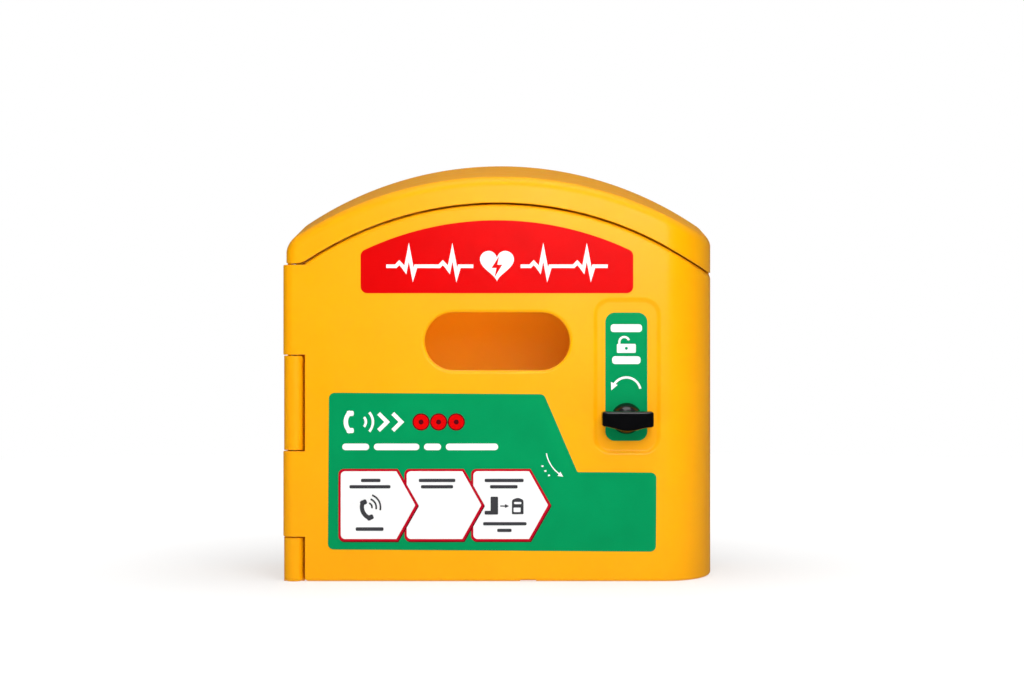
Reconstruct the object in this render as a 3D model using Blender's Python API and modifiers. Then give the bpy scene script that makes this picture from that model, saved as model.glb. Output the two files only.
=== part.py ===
"""Outdoor wall cabinet for a defibrillator: a moulded casing whose arched hood overhangs a deep hinged door.

Metres, +Z up. The front faces -Y, the base stands on Z = 0 and the width is centred on X = 0. Heights and
depths are measured from the door's front plane (FRONT); "depth" below always means a distance behind it.
"""

import math

import bmesh
import bpy
from mathutils import Matrix, Vector

# Outer form
FRONT = -0.0875
BACK = 0.1225
LEFT = -0.2265
RIGHT = 0.22975
WALL = 0.004
GAP = 0.0003
LEFT_CORNER_R = 0.0115
REAR_CORNER_R = 0.008
SIDE_CORNER_X = 0.056
SIDE_CORNER_Y = 0.090
HOOD_TOP = 0.4279
HOOD_R = 0.400
HOOD_EDGE_R = 0.010
HOOD_REAR_R = 0.003
BASE_EDGE_R = 0.0025
SHEAR = 0.133

# Seam between the hood and the door
SEAM_TOP = 0.4006
SEAM_X = -0.0019
SEAM_R = 0.366
SEAM_GAP = 0.002
SEAM_CHAMFER = 0.0015
NOSE_Z = 0.336
EASE = 0.0027
EASE_LENGTH = 0.020

# Parting plane, which slants from just behind the hinge to the right side
PART_DEPTH = 0.025
PART_SLOPE = 0.1695
PART_GAP = 0.002
LAND = 0.003
MOUTH_LEFT = -0.194
MOUTH_RIGHT = 0.214
MOUTH_LOW = 0.0155
MOUTH_DROP = 0.019
SEAL_WIDTH = 0.006
SEAL_HEIGHT = 0.003
SEAL_MARGIN = 0.0012

# Hinge: two door barrels between three casing supports
HINGE_X = -0.21825
HINGE_Y = FRONT + 0.0115
BARREL_R = 0.0115
KNUCKLE_R = 0.0107
LEAF_X = -0.2062
PIN_R = 0.003
BORE_R = 0.0034
BUSH_R = 0.0052
BUSH_LENGTH = 0.014
BOTTOM_KNUCKLE = (0.0, 0.0465)
LOWER_BARREL = (0.0475, 0.138)
MIDDLE_KNUCKLE = (0.139, 0.239)
UPPER_BARREL = (0.240, 0.3352)
PIN_LOW = 0.009
PIN_HIGH = 0.349

# Door
DOOR_LOW = 0.0006
DOOR_EDGE_R = 0.0035
ROOF_STEP = 0.001
ROOF_DRAFT = 0.04
DRAIN = (0.030, 0.017, 0.0028)

# Window: a stadium opening with a clear sheet held from behind
WINDOW_X = -0.0027
WINDOW_Z = 0.2542
WINDOW_WIDTH = 0.1532
WINDOW_HEIGHT = 0.0612
LENS_MARGIN = 0.007
LENS_THICK = 0.003
GASKET_THICK = 0.0015
RETAINER_MARGIN = 0.016
RETAINER_THICK = 0.003
WINDOW_SCREW_MARGIN = 0.0115

# Labels
LABEL_THICK = 0.0006
TITLE_LOW = 0.305
TITLE_TOP = 0.382
TITLE_LEFT = -0.147
TITLE_RIGHT = 0.141
TITLE_R = 0.330
PANEL_TILT = math.radians(-0.4)
PANEL_CORNERS = (
    (-0.181, 0.033, 0.006),
    (0.1655, 0.033, 0.006),
    (0.1655, 0.1165, 0.006),
    (0.082, 0.1165, 0.002),
    (0.046, 0.1985, 0.006),
    (-0.181, 0.1985, 0.006),
)
RECESS = (0.104, 0.165, 0.140, 0.295)
RECESS_DEPTH = 0.002
RECESS_CORNER_R = 0.016
LOCK_LABEL = (0.1116, 0.156, 0.149, 0.2846)

# Quarter-turn lock
LOCK_X = 0.1338
LOCK_Z = 0.1728
LOCK_PAD = 0.002
LOCK_PAD_HALF = 0.028
LOCK_FLANGE_R = 0.0125
HUB_R = 0.0165
DOME_STEPS = 5
WING_LENGTH = 0.054
WING_HEIGHT = 0.0195
WING_PROUD = 0.035
HOUSING_R = 0.0095
HOUSING_END = 0.024
SPINDLE_R = 0.005
CAM_DEPTH = 0.041
CAM_THICK = 0.003
CAM_REACH = 0.0645
CAM_WIDTH = 0.016

# Striker: a joggled strip that brings the cam's catch forward into the door
STRIKER_WALL_X = RIGHT - WALL - 2 * GAP
STRIKER_ARM_X = 0.207
STRIKER_LIP_X = 0.190
STRIKER_BACK = 0.150
STRIKER_JOGGLE = 0.112
STRIKER_FRONT = 0.038
STRIKER_HEIGHT = 0.030
STRIKER_SCREW_DEPTHS = (0.124, 0.140)
SHEET = 0.002

# Fittings on the back wall stand on bosses
BOSS_R = 0.005
BOSS_DEPTH = 0.198
SCREW_R = 0.0016
PILOT_R = 0.0019
SCREW_HEAD_R = 0.0038
SCREW_HEAD = 0.0022
FLANGE = 0.003
FLUSH = 0.00001
SHELF = (-0.100, 0.160, 0.060, 0.100)
SHELF_FRONT = 0.095
SHELF_LIP = 0.018
SHELF_SCREWS = ((-0.080, 0.084), (-0.005, 0.084), (0.065, 0.084), (0.140, 0.084))
HEATER_Z = (0.018, 0.050)
HEATER_HALF = 0.056
HEATER_EAR = 0.072
HEATER_FINS = 13
HEATER_FIN = 0.002
HEATER_FRONT = 0.160
HEATER_SCREWS = ((-0.0655, 0.034), (0.0655, 0.034))
CONTROL = (-0.205, -0.125, 0.024, 0.106)
CONTROL_FRONT = 0.161
CONTROL_EAR = 0.012
CONTROL_SCREWS = ((-0.165, 0.018), (-0.165, 0.112))
LIGHT = (-0.060, 0.060, 0.331, 0.348)
LIGHT_FRONT = 0.182
LIGHT_EAR = 0.016
LIGHT_SCREWS = ((-0.0685, 0.3395), (0.0685, 0.3395))
LEAD_R = 0.0025
CLIP_HEIGHTS = (0.185, 0.275)
LEAD_X = -0.205
LEAD_DEPTH = 0.1925
PLUG_X = 0.180
PLUG_HEIGHTS = (0.131, 0.306)
PLUG_R = 0.0045
GROMMET = (-0.150, 0.165)
GROMMET_R = 0.011

ROUND = 24
FRONTWARD = (math.pi / 2, 0, 0)
REARWARD = (-math.pi / 2, 0, 0)
LEFTWARD = (0, -math.pi / 2, 0)

# name: (linear colour, roughness, metallic, alpha)
FINISHES = {
    "yellow_plastic": ((1.0, 0.53, 0.012), 0.38, 0.0, 1.0),
    "red_label": ((0.84, 0.006, 0.004), 0.35, 0.0, 1.0),
    "green_label": ((0.0, 0.29, 0.09), 0.35, 0.0, 1.0),
    "black_plastic": ((0.008, 0.008, 0.009), 0.22, 0.0, 1.0),
    "grey_plastic": ((0.42, 0.43, 0.44), 0.45, 0.0, 1.0),
    "white_plastic": ((0.85, 0.85, 0.83), 0.4, 0.0, 1.0),
    "clear_plastic": ((0.95, 0.97, 0.98), 0.05, 0.0, 0.25),
    "black_rubber": ((0.012, 0.012, 0.013), 0.75, 0.0, 1.0),
    "steel": ((0.55, 0.56, 0.57), 0.3, 1.0, 1.0),
    "zinc": ((0.62, 0.62, 0.6), 0.35, 1.0, 1.0),
    "aluminium": ((0.7, 0.71, 0.72), 0.35, 1.0, 1.0),
}


def start_scene():
    for thing in list(bpy.data.objects):
        bpy.data.objects.remove(thing, do_unlink=True)
    for name in ("defibrillator_cabinet", "cutters"):
        bpy.context.scene.collection.children.link(bpy.data.collections.new(name))


def finish(name):
    """The Principled material of that name."""
    material = bpy.data.materials.get(name)
    if material:
        return material
    colour, roughness, metallic, alpha = FINISHES[name]
    material = bpy.data.materials.new(name)
    material.use_nodes = True
    shader = material.node_tree.nodes["Principled BSDF"]
    shader.inputs["Base Color"].default_value = (*colour, 1.0)
    shader.inputs["Roughness"].default_value = roughness
    shader.inputs["Metallic"].default_value = metallic
    shader.inputs["Alpha"].default_value = alpha
    material.diffuse_color = (*colour, alpha)
    return material


def add_mesh(name, mesh, material=None):
    """An object for the mesh: a part when it has a material, else a cutter."""
    thing = bpy.data.objects.new(name, mesh)
    if material:
        mesh.materials.clear()
        mesh.materials.append(finish(material))
        bpy.data.collections["defibrillator_cabinet"].objects.link(thing)
    else:
        thing.hide_render = True
        thing.display_type = "WIRE"
        bpy.data.collections["cutters"].objects.link(thing)
    return thing


def add_bmesh(name, form, material=None, smooth=None):
    bmesh.ops.recalc_face_normals(form, faces=form.faces)
    mesh = bpy.data.meshes.new(name)
    form.to_mesh(mesh)
    form.free()
    if smooth:
        mesh.shade_smooth()
        mesh.set_sharp_from_angle(angle=math.radians(smooth))
    return add_mesh(name, mesh, material)


def boolean(target, tool, operation="DIFFERENCE"):
    modifier = target.modifiers.new(tool.name, "BOOLEAN")
    modifier.operation = operation
    modifier.object = tool
    return target


def cut(target, *tools):
    for tool in tools:
        boolean(target, tool)
    return target


def join(target, *tools):
    for tool in tools:
        boolean(target, tool, "UNION")
    return target


def box(name, low, high, material=None, bevel=0.0):
    """A box between two corners, given as (x, depth, z)."""
    form = bmesh.new()
    bmesh.ops.create_cube(form, size=1.0)
    low = Vector((low[0], FRONT + low[1], low[2]))
    high = Vector((high[0], FRONT + high[1], high[2]))
    size = high - low
    bmesh.ops.scale(form, vec=size, verts=form.verts)
    bmesh.ops.translate(form, vec=(low + high) / 2, verts=form.verts)
    thing = add_bmesh(name, form, material)
    if bevel:
        rounding = thing.modifiers.new("rounded edges", "BEVEL")
        rounding.width = bevel
        rounding.segments = 2
    return thing


def cylinder(name, radius, low, high, place, turn=(0, 0, 0), segments=ROUND, material=None):
    """A cylinder from low to high along its own axis, at (x, depth, z)."""
    form = bmesh.new()
    lift = Matrix.Translation((0, 0, (low + high) / 2))
    bmesh.ops.create_cone(
        form, cap_ends=True, segments=segments, radius1=radius, radius2=radius, depth=high - low, matrix=lift
    )
    thing = add_bmesh(name, form, material, smooth=35)
    thing.location = (place[0], FRONT + place[1], place[2])
    thing.rotation_euler = turn
    return thing


def turned(name, profile, place, turn, material, segments=ROUND, closed=False):
    """A turned piece: (radius, height) points run down the outer side, then back up any bore."""
    mesh = bpy.data.meshes.new(name)
    edges = [(i, i + 1) for i in range(len(profile) - 1)]
    if closed:
        edges.append((len(profile) - 1, 0))
    mesh.from_pydata([(radius, 0, height) for radius, height in profile], edges, [])
    thing = add_mesh(name, mesh, material)
    screw = thing.modifiers.new("turn", "SCREW")
    screw.steps = segments
    screw.render_steps = segments
    screw.use_merge_vertices = True
    screw.merge_threshold = 0.00001
    screw.use_smooth_shade = False
    thing.location = (place[0], FRONT + place[1], place[2])
    thing.rotation_euler = turn
    return thing


def ring(name, outer, inner, low, high, place, turn, material, segments=ROUND):
    profile = [(outer, high), (outer, low), (inner, low), (inner, high)]
    return turned(name, profile, place, turn, material, segments, closed=True)


def screw(name, place, turn, length, material="steel"):
    """A pan-head screw whose head sits on the plane at its place, pointing along its own +Z."""
    profile = [
        (0, SCREW_HEAD),
        (SCREW_HEAD_R * 0.8, SCREW_HEAD),
        (SCREW_HEAD_R, GAP),
        (SCREW_R, GAP),
        (SCREW_R, -length),
        (0, -length),
    ]
    return turned(name, profile, place, turn, material, segments=8)


def rounded(corners, steps=5):
    """Outline points of a polygon whose (x, z, radius) corners are rounded by arcs."""
    points = []
    count = len(corners)
    for index, (x, z, radius) in enumerate(corners):
        here = Vector((x, z))
        if not radius:
            points.append((x, z))
            continue
        before = (Vector(corners[index - 1][:2]) - here).normalized()
        after = (Vector(corners[(index + 1) % count][:2]) - here).normalized()
        half = before.angle(after) / 2
        centre = here + (before + after).normalized() * radius / math.sin(half)
        first = here + before * radius / math.tan(half) - centre
        last = here + after * radius / math.tan(half) - centre
        start = math.atan2(first.y, first.x)
        sweep = math.remainder(math.atan2(last.y, last.x) - start, math.tau)
        for step in range(steps + 1):
            angle = start + sweep * step / steps
            points.append((centre.x + radius * math.cos(angle), centre.y + radius * math.sin(angle)))
    return points


def rectangle(x_low, x_high, z_low, z_high, radius=0.0, steps=5):
    corners = [(x_low, z_low), (x_high, z_low), (x_high, z_high), (x_low, z_high)]
    return rounded([(x, z, radius) for x, z in corners], steps)


def stadium(margin, steps=6):
    """The window's outline, grown by a margin."""
    half = WINDOW_WIDTH / 2 + margin
    high = WINDOW_HEIGHT / 2 + margin
    return rectangle(WINDOW_X - half, WINDOW_X + half, WINDOW_Z - high, WINDOW_Z + high, high * 0.999, steps)


def circle(x, z, radius, segments=ROUND):
    angles = [math.tau * step / segments for step in range(segments)]
    return [(x + radius * math.cos(angle), z + radius * math.sin(angle)) for angle in angles]


def flat(name, outline, low, high, material=None, holes=(), turn=FRONTWARD, shift=(0, 0, 0)):
    """A flat outline made solid. With the default turn, outline points are (x, z), and low and high are
    depths; with no turn they are (x, depth), and low and high are heights."""
    curve = bpy.data.curves.new(name, "CURVE")
    curve.dimensions = "2D"
    curve.fill_mode = "BOTH"
    curve.extrude = (high - low) / 2
    for loop in (outline, *holes):
        spline = curve.splines.new("POLY")
        spline.points.add(len(loop) - 1)
        for point, (u, v) in zip(spline.points, loop):
            point.co = (u, v, 0, 1)
        spline.use_cyclic_u = True
    guide = bpy.data.objects.new(name + "_outline", curve)
    bpy.context.scene.collection.objects.link(guide)
    view = bpy.context.evaluated_depsgraph_get()
    mesh = bpy.data.meshes.new_from_object(guide.evaluated_get(view))
    bpy.data.objects.remove(guide)
    form = bmesh.new()
    form.from_mesh(mesh)
    bmesh.ops.remove_doubles(form, verts=form.verts, dist=0.000001)
    middle = (low + high) / 2
    bmesh.ops.translate(form, vec=(0, 0, -middle if turn == FRONTWARD else middle), verts=form.verts)
    bmesh.ops.rotate(form, matrix=Matrix.Rotation(turn[0], 3, "X"), verts=form.verts)
    bmesh.ops.translate(form, vec=(shift[0], FRONT + shift[1], shift[2]), verts=form.verts)
    thing = add_bmesh(name, form, material, smooth=30)
    bpy.data.meshes.remove(mesh)
    return thing


def tube(name, route, radius, material):
    """A round lead along route points (x, depth, z)."""
    curve = bpy.data.curves.new(name, "CURVE")
    curve.dimensions = "3D"
    curve.bevel_depth = radius
    curve.bevel_resolution = 2
    curve.use_fill_caps = True
    spline = curve.splines.new("POLY")
    spline.points.add(len(route) - 1)
    for point, (x, depth, z) in zip(spline.points, route):
        point.co = (x, FRONT + depth, z, 1)
    thing = bpy.data.objects.new(name, curve)
    curve.materials.append(finish(material))
    bpy.data.collections["defibrillator_cabinet"].objects.link(thing)
    return thing


def smooth_route(points, steps):
    """Points along a Catmull-Rom curve through the given ones."""
    anchors = [Vector(point) for point in (points[0], *points, points[-1])]
    route = []
    for index in range(1, len(anchors) - 2):
        before, start, end, after = anchors[index - 1 : index + 3]
        for step in range(steps):
            t = step / steps
            bend = (
                2 * start
                + (end - before) * t
                + (2 * before - 5 * start + 4 * end - after) * t**2
                + (3 * start - before - 3 * end + after) * t**3
            )
            route.append(tuple(bend / 2))
    route.append(tuple(anchors[-1]))
    return route


def arc_drop(x, centre, radius):
    return radius - math.sqrt(radius**2 - (x - centre) ** 2)


def hood_z(x, y):
    """Height of the hood's arched top, which rises to the rear."""
    return HOOD_TOP - arc_drop(x, 0, HOOD_R) + SHEAR * (y - FRONT)


def seam_arc(x):
    arc = SEAM_TOP - arc_drop(x, SEAM_X, SEAM_R)
    return max(arc, NOSE_Z) if x < 0 else arc


def seam_z(x, y):
    """Height of the hood's lower edge."""
    return seam_arc(x) + SHEAR * (y - FRONT)


def door_clearance(x):
    """Gap under the hood, wider beside the hinge, where the leaf turns under the nose."""
    nearness = min(1.0, max(0.0, 1 - (x - LEAF_X) / EASE_LENGTH))
    return SEAM_GAP + EASE * nearness**2


def door_z(x, y):
    return seam_z(x, y) - door_clearance(x)


def roof_z(x, y):
    """Height of the door's own roof, which falls to the rear so that it swings out under the hood."""
    return seam_arc(x) - door_clearance(x) - ROOF_STEP - ROOF_DRAFT * (y - FRONT)


def part_y(x):
    """The parting plane between door and casing."""
    return FRONT + PART_DEPTH + PART_SLOPE * (x - HINGE_X)


def rear_point(x):
    """The rear outline's point and outward normal at a station."""
    side = -1 if x < 0 else 1
    inner = (LEFT if side < 0 else RIGHT) - side * REAR_CORNER_R
    sine = min(1.0, max(0.0, (x - inner) * side / REAR_CORNER_R))
    cosine = math.sqrt(1 - sine**2)
    return (x, BACK - REAR_CORNER_R * (1 - cosine)), (side * sine, cosine)


def plan_stations(left_steps=3, flat_steps=14, right_steps=7):
    """The plan outline as front and rear points with their outward normals, from left to right."""
    fronts = []
    for step in range(left_steps + 1):
        angle = math.pi * (1 + step / left_steps / 2)
        normal = (math.cos(angle), math.sin(angle))
        centre = (LEFT + LEFT_CORNER_R, FRONT + LEFT_CORNER_R)
        point = (centre[0] + LEFT_CORNER_R * normal[0], centre[1] + LEFT_CORNER_R * normal[1])
        fronts.append((point, normal))
    start = LEFT + LEFT_CORNER_R
    width = RIGHT - SIDE_CORNER_X - start
    for step in range(1, flat_steps):
        fronts.append(((start + width * step / flat_steps, FRONT), (0.0, -1.0)))
    for step in range(right_steps + 1):
        angle = -math.pi / 2 * (1 - step / right_steps)
        point = (
            RIGHT - SIDE_CORNER_X * (1 - math.cos(angle)),
            FRONT + SIDE_CORNER_Y * (1 + math.sin(angle)),
        )
        normal = Vector((math.cos(angle) / SIDE_CORNER_X, math.sin(angle) / SIDE_CORNER_Y)).normalized()
        fronts.append((point, tuple(normal)))
    return [(*front, *rear_point(front[0][0])) for front in fronts]


def loft(name, rings, material=None, smooth=None):
    """A closed loft through rings of the same length, whose ends are closed by strips from side to side."""
    form = bmesh.new()
    rows = [[form.verts.new(point) for point in ring_points] for ring_points in rings]
    count = len(rows[0])
    for low, high in zip(rows, rows[1:]):
        for index in range(count):
            after = (index + 1) % count
            form.faces.new((low[index], low[after], high[after], high[index]))
    for row in (rows[0], rows[-1]):
        for index in range(count // 2 - 1):
            form.faces.new((row[index], row[index + 1], row[count - 2 - index], row[count - 1 - index]))
    bmesh.ops.triangulate(form, faces=form.faces)
    return add_bmesh(name, form, material, smooth)


def plan_block(name, inset, bottom, top, top_edge=0.0, bottom_edge=0.0, material=None, steps=2):
    """The cabinet's plan outline, inset and raised from one surface to another, with rounded edges. A radius
    is a number or, as (front, rear), changes evenly with depth."""
    stations = plan_stations()
    loop = [(point, normal) for point, normal, _, _ in stations]
    loop += [(point, normal) for _, _, point, normal in reversed(stations)]

    def ring_at(edge, inward, surface, lift):
        front, rear = edge if isinstance(edge, tuple) else (edge, edge)
        points = []
        for (x, y), (nx, ny) in loop:
            radius = front + (rear - front) * (y - FRONT) / (BACK - FRONT)
            px = x - nx * (inset + radius * inward)
            py = y - ny * (inset + radius * inward)
            points.append((px, py, surface(px, py) + radius * lift))
        return points

    rings = []
    for step in range(steps + 1 if bottom_edge else 1):
        angle = math.pi / 2 * step / steps
        rings.append(ring_at(bottom_edge, 1 - math.sin(angle), bottom, 1 - math.cos(angle)))
    for step in range(steps + 1 if top_edge else 1):
        angle = math.pi / 2 * step / steps
        rings.append(ring_at(top_edge, 1 - math.cos(angle), top, math.sin(angle) - 1))
    return loft(name, rings, material, smooth=30)


def arched_block(name, x_low, x_high, bottom, top, front, back, columns, material=None):
    """A block between two depths, given as functions of x, with an arched top."""
    rings = []
    for step in range(columns + 1):
        x = x_low + (x_high - x_low) * step / columns
        low = (x, front(x), bottom)
        high = (x, front(x), top(x, front(x)))
        far_high = (x, back(x), top(x, back(x)))
        far_low = (x, back(x), bottom)
        rings.append([low, high, far_high, far_low])
    return loft(name, rings, material)


def slanted(offset):
    """A plane parallel to the parting plane."""
    return lambda x: part_y(x) + offset


def fixed(value):
    return lambda *_: value


def hinge_support(name, span, radius, depth):
    """A casing knuckle: a round barrel with a web that runs back to the casing."""
    knuckle = cylinder(name, radius, *span, (HINGE_X, HINGE_Y - FRONT, 0), segments=28)
    web = box(
        name + "_web",
        (HINGE_X - radius, HINGE_Y - FRONT, span[0]),
        (HINGE_X + radius, depth, span[1]),
    )
    return knuckle, web


def pilot_hole(name, x, z, depth, length):
    """A blind hole for a screw that points to the rear."""
    return cylinder(name, PILOT_R, -length, 0.002, (x, depth, z), FRONTWARD, segments=8)


def casing_hollow():
    """The casing's inside, parted from the hood's open underside by the land that the seal sits on."""
    inner_edge = (HOOD_EDGE_R - WALL, 0.002)
    hollow = plan_block("casing_hollow", WALL, fixed(WALL), lambda x, y: hood_z(x, y) - WALL, inner_edge, 0.001)
    land = arched_block("land", -0.30, 0.30, -0.02, fixed(0.6), slanted(-0.001), slanted(LAND), 1)
    nose = box("nose", (-0.30, -0.02, 0.30), (MOUTH_LEFT, 0.05, 0.50))
    return cut(hollow, land, nose)


def build_rear_casing():
    hood_edge = (HOOD_EDGE_R, HOOD_REAR_R)
    casing = plan_block("rear_casing", 0.0, fixed(0.0), hood_z, hood_edge, BASE_EDGE_R, "yellow_plastic")
    door_zone = arched_block("door_zone", -0.25, 0.25, -0.05, seam_z, fixed(FRONT - 0.03), part_y, 36)
    chamfer = arched_block(
        "seam_chamfer",
        -0.25,
        0.25,
        SEAM_TOP - 0.12,
        lambda x, y: seam_z(x, y) + FRONT + SEAM_CHAMFER - y,
        fixed(FRONT - SEAM_CHAMFER),
        fixed(FRONT + SEAM_CHAMFER),
        36,
    )
    mouth = arched_block(
        "mouth",
        MOUTH_LEFT,
        MOUTH_RIGHT,
        MOUTH_LOW,
        lambda x, y: seam_arc(x) - MOUTH_DROP,
        slanted(-0.012),
        slanted(0.010),
        14,
    )
    cut(casing, casing_hollow(), door_zone, chamfer, mouth)
    web_depth = PART_DEPTH + LAND
    for name, span in (("middle_knuckle", MIDDLE_KNUCKLE), ("bottom_knuckle", BOTTOM_KNUCKLE)):
        join(casing, *hinge_support(name, span, KNUCKLE_R, web_depth))
    cut(casing, cylinder("casing_pin_bore", BORE_R, -0.01, PIN_HIGH + GAP, (HINGE_X, HINGE_Y - FRONT, 0)))
    cut(casing, cylinder("pin_plug_bore", BUSH_R, -0.01, PIN_LOW - GAP, (HINGE_X, HINGE_Y - FRONT, 0)))
    fittings = (
        ("shelf", SHELF_SCREWS),
        ("heater", HEATER_SCREWS),
        ("control", CONTROL_SCREWS),
        ("light", LIGHT_SCREWS),
    )
    for kind, places in fittings:
        for index, (x, z) in enumerate(places, 1):
            name = f"{kind}_boss_{index}"
            place = (x, BOSS_DEPTH, z)
            join(casing, cylinder(name, BOSS_R, -0.009, 0, place, FRONTWARD, segments=8))
            cut(casing, pilot_hole(name + "_pilot", x, z, BOSS_DEPTH, 0.008))
    for index, depth in enumerate(STRIKER_SCREW_DEPTHS, 1):
        place = (RIGHT - WALL, depth, LOCK_Z)
        cut(casing, cylinder(f"striker_pilot_{index}", PILOT_R, -0.003, 0.003, place, LEFTWARD, segments=8))
    for index, (x, z) in enumerate(plug_places(), 1):
        place = (x, 0, z)
        cut(casing, cylinder(f"plug_hole_{index}", PLUG_R + GAP, -0.22, -0.20, place, FRONTWARD, segments=16))
    x, z = GROMMET
    cut(casing, cylinder("grommet_hole", GROMMET_R + GAP, -0.22, -0.20, (x, 0, z), FRONTWARD))
    return casing


def plug_places():
    return [(side * PLUG_X, z) for side in (-1, 1) for z in PLUG_HEIGHTS]


def build_seal():
    """A rubber loop that stands on the casing's land, just outside the mouth."""
    margin = SEAL_WIDTH + SEAL_MARGIN
    outer = arched_block(
        "door_seal",
        MOUTH_LEFT - margin,
        MOUTH_RIGHT + margin,
        MOUTH_LOW - margin,
        lambda x, y: seam_arc(x) - MOUTH_DROP + margin,
        slanted(-GAP - SEAL_HEIGHT),
        slanted(-GAP),
        14,
        "black_rubber",
    )
    inner = arched_block(
        "seal_opening",
        MOUTH_LEFT - SEAL_MARGIN,
        MOUTH_RIGHT + SEAL_MARGIN,
        MOUTH_LOW - SEAL_MARGIN,
        lambda x, y: seam_arc(x) - MOUTH_DROP + SEAL_MARGIN,
        slanted(-0.02),
        slanted(0.02),
        14,
    )
    return cut(outer, inner)


def build_hinge_pieces():
    axis = (HINGE_X, HINGE_Y - FRONT, 0)
    upright = (0, 0, 0)
    chamfer = 0.0008
    pin = [
        (0, PIN_HIGH),
        (PIN_R - chamfer, PIN_HIGH),
        (PIN_R, PIN_HIGH - chamfer),
        (PIN_R, PIN_LOW + chamfer),
        (PIN_R - chamfer, PIN_LOW),
        (0, PIN_LOW),
    ]
    turned("hinge_pin", pin, axis, upright, "steel", segments=20)
    plug = [(0, PIN_LOW - 2 * GAP), (BUSH_R - GAP, PIN_LOW - 2 * GAP), (BUSH_R - GAP, 0.0006), (0, 0.0006)]
    turned("hinge_pin_plug", plug, axis, upright, "black_rubber", segments=20)
    for name, span in (("lower", LOWER_BARREL), ("upper", UPPER_BARREL)):
        low = span[0] + GAP
        ring(f"door_bush_{name}", BUSH_R, BORE_R, low, low + BUSH_LENGTH, axis, upright, "white_plastic")


def lock_screw_stack():
    """Depths of the lock's washer and nut behind the door's skin."""
    inner_face = WALL + LOCK_PAD
    washer = (inner_face + GAP, inner_face + GAP + 0.001)
    nut = (washer[1] + GAP, washer[1] + GAP + 0.006)
    return washer, nut


def build_door_shell():
    door = plan_block("door_shell", 0.0, fixed(DOOR_LOW), door_z, DOOR_EDGE_R, DOOR_EDGE_R, "yellow_plastic")
    behind = arched_block("behind_door", -0.30, 0.30, -0.05, fixed(0.6), slanted(-PART_GAP), fixed(0.30), 1)
    beside = box("beside_leaf", (-0.30, -0.05, -0.05), (LEAF_X, 0.30, 0.60))
    above = plan_block("above_roof", WALL, roof_z, fixed(0.6))
    hollow = plan_block(
        "door_hollow", WALL, fixed(DOOR_LOW + WALL), lambda x, y: roof_z(x, y) - WALL, 0.002, 0.001
    )
    cut(door, behind, beside, above, hollow)
    for name, span in (("lower_barrel", LOWER_BARREL), ("upper_barrel", UPPER_BARREL)):
        barrel = cylinder(name, BARREL_R, *span, (HINGE_X, HINGE_Y - FRONT, 0), segments=32)
        neck = box(name + "_neck", (HINGE_X, 0.0, span[0]), (LEAF_X + 0.003, HINGE_Y - FRONT, span[1]))
        join(door, barrel, neck)
        low = span[0] - 0.0005
        high = span[0] + BUSH_LENGTH + 2 * GAP
        cut(door, cylinder(name + "_bush_bore", BUSH_R + GAP, low, high, (HINGE_X, HINGE_Y - FRONT, 0)))
    cut(door, cylinder("door_pin_bore", BORE_R, -0.01, 0.40, (HINGE_X, HINGE_Y - FRONT, 0)))
    cut(door, flat("window_opening", stadium(0), -0.01, 0.02))
    recess = rectangle(*RECESS, RECESS_CORNER_R)
    cut(door, flat("lock_recess", recess, -0.01, RECESS_DEPTH))
    pad_low = (LOCK_X - LOCK_PAD_HALF, WALL - 0.0005, LOCK_Z - LOCK_PAD_HALF)
    pad_high = (LOCK_X + LOCK_PAD_HALF, WALL + LOCK_PAD, LOCK_Z + LOCK_PAD_HALF)
    join(door, box("lock_pad", pad_low, pad_high))
    cut(door, cylinder("lock_hole", HOUSING_R + GAP, -0.02, 0.01, (LOCK_X, 0, LOCK_Z), FRONTWARD))
    boss_end = window_stack()["retainer"][0] - GAP
    for index, (x, z) in enumerate(window_screw_places(), 1):
        name = f"window_boss_{index}"
        place = (x, 0, z)
        join(door, cylinder(name, BOSS_R - 0.001, -boss_end, -WALL + 0.0005, place, FRONTWARD, segments=12))
        cut(door, cylinder(name + "_pilot", PILOT_R, -0.015, -WALL + 0.001, place, FRONTWARD, segments=8))
    centre, width, height = DRAIN
    cut(door, box("drain_notch", (centre - width / 2, -0.01, -0.01), (centre + width / 2, 0.012, height)))
    return door


def window_stack():
    """Front and rear depths of the gasket, lens and retainer behind the door's skin."""
    gasket = (WALL + GAP, WALL + GAP + GASKET_THICK)
    lens = (gasket[1] + GAP, gasket[1] + GAP + LENS_THICK)
    retainer = (lens[1] + GAP, lens[1] + GAP + RETAINER_THICK)
    return {"gasket": gasket, "lens": lens, "retainer": retainer}


def window_screw_places():
    """Three screws along the top of the window and three along its bottom."""
    reach = WINDOW_HEIGHT / 2 + WINDOW_SCREW_MARGIN
    columns = [WINDOW_X + column * WINDOW_WIDTH * 0.28 for column in (-1, 0, 1)]
    return [(x, WINDOW_Z + side * reach) for side in (-1, 1) for x in columns]


def build_window():
    stack = window_stack()
    flat("window_gasket", stadium(LENS_MARGIN), *stack["gasket"], "black_rubber", [stadium(0.0015)])
    flat("window_lens", stadium(LENS_MARGIN), *stack["lens"], "clear_plastic")
    holes = [stadium(0.001)] + [circle(x, z, PILOT_R + GAP, 12) for x, z in window_screw_places()]
    flat("window_retainer", stadium(RETAINER_MARGIN), *stack["retainer"], "grey_plastic", holes)
    for index, (x, z) in enumerate(window_screw_places(), 1):
        screw(f"window_screw_{index}", (x, stack["retainer"][1], z), REARWARD, 0.007)


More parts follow.
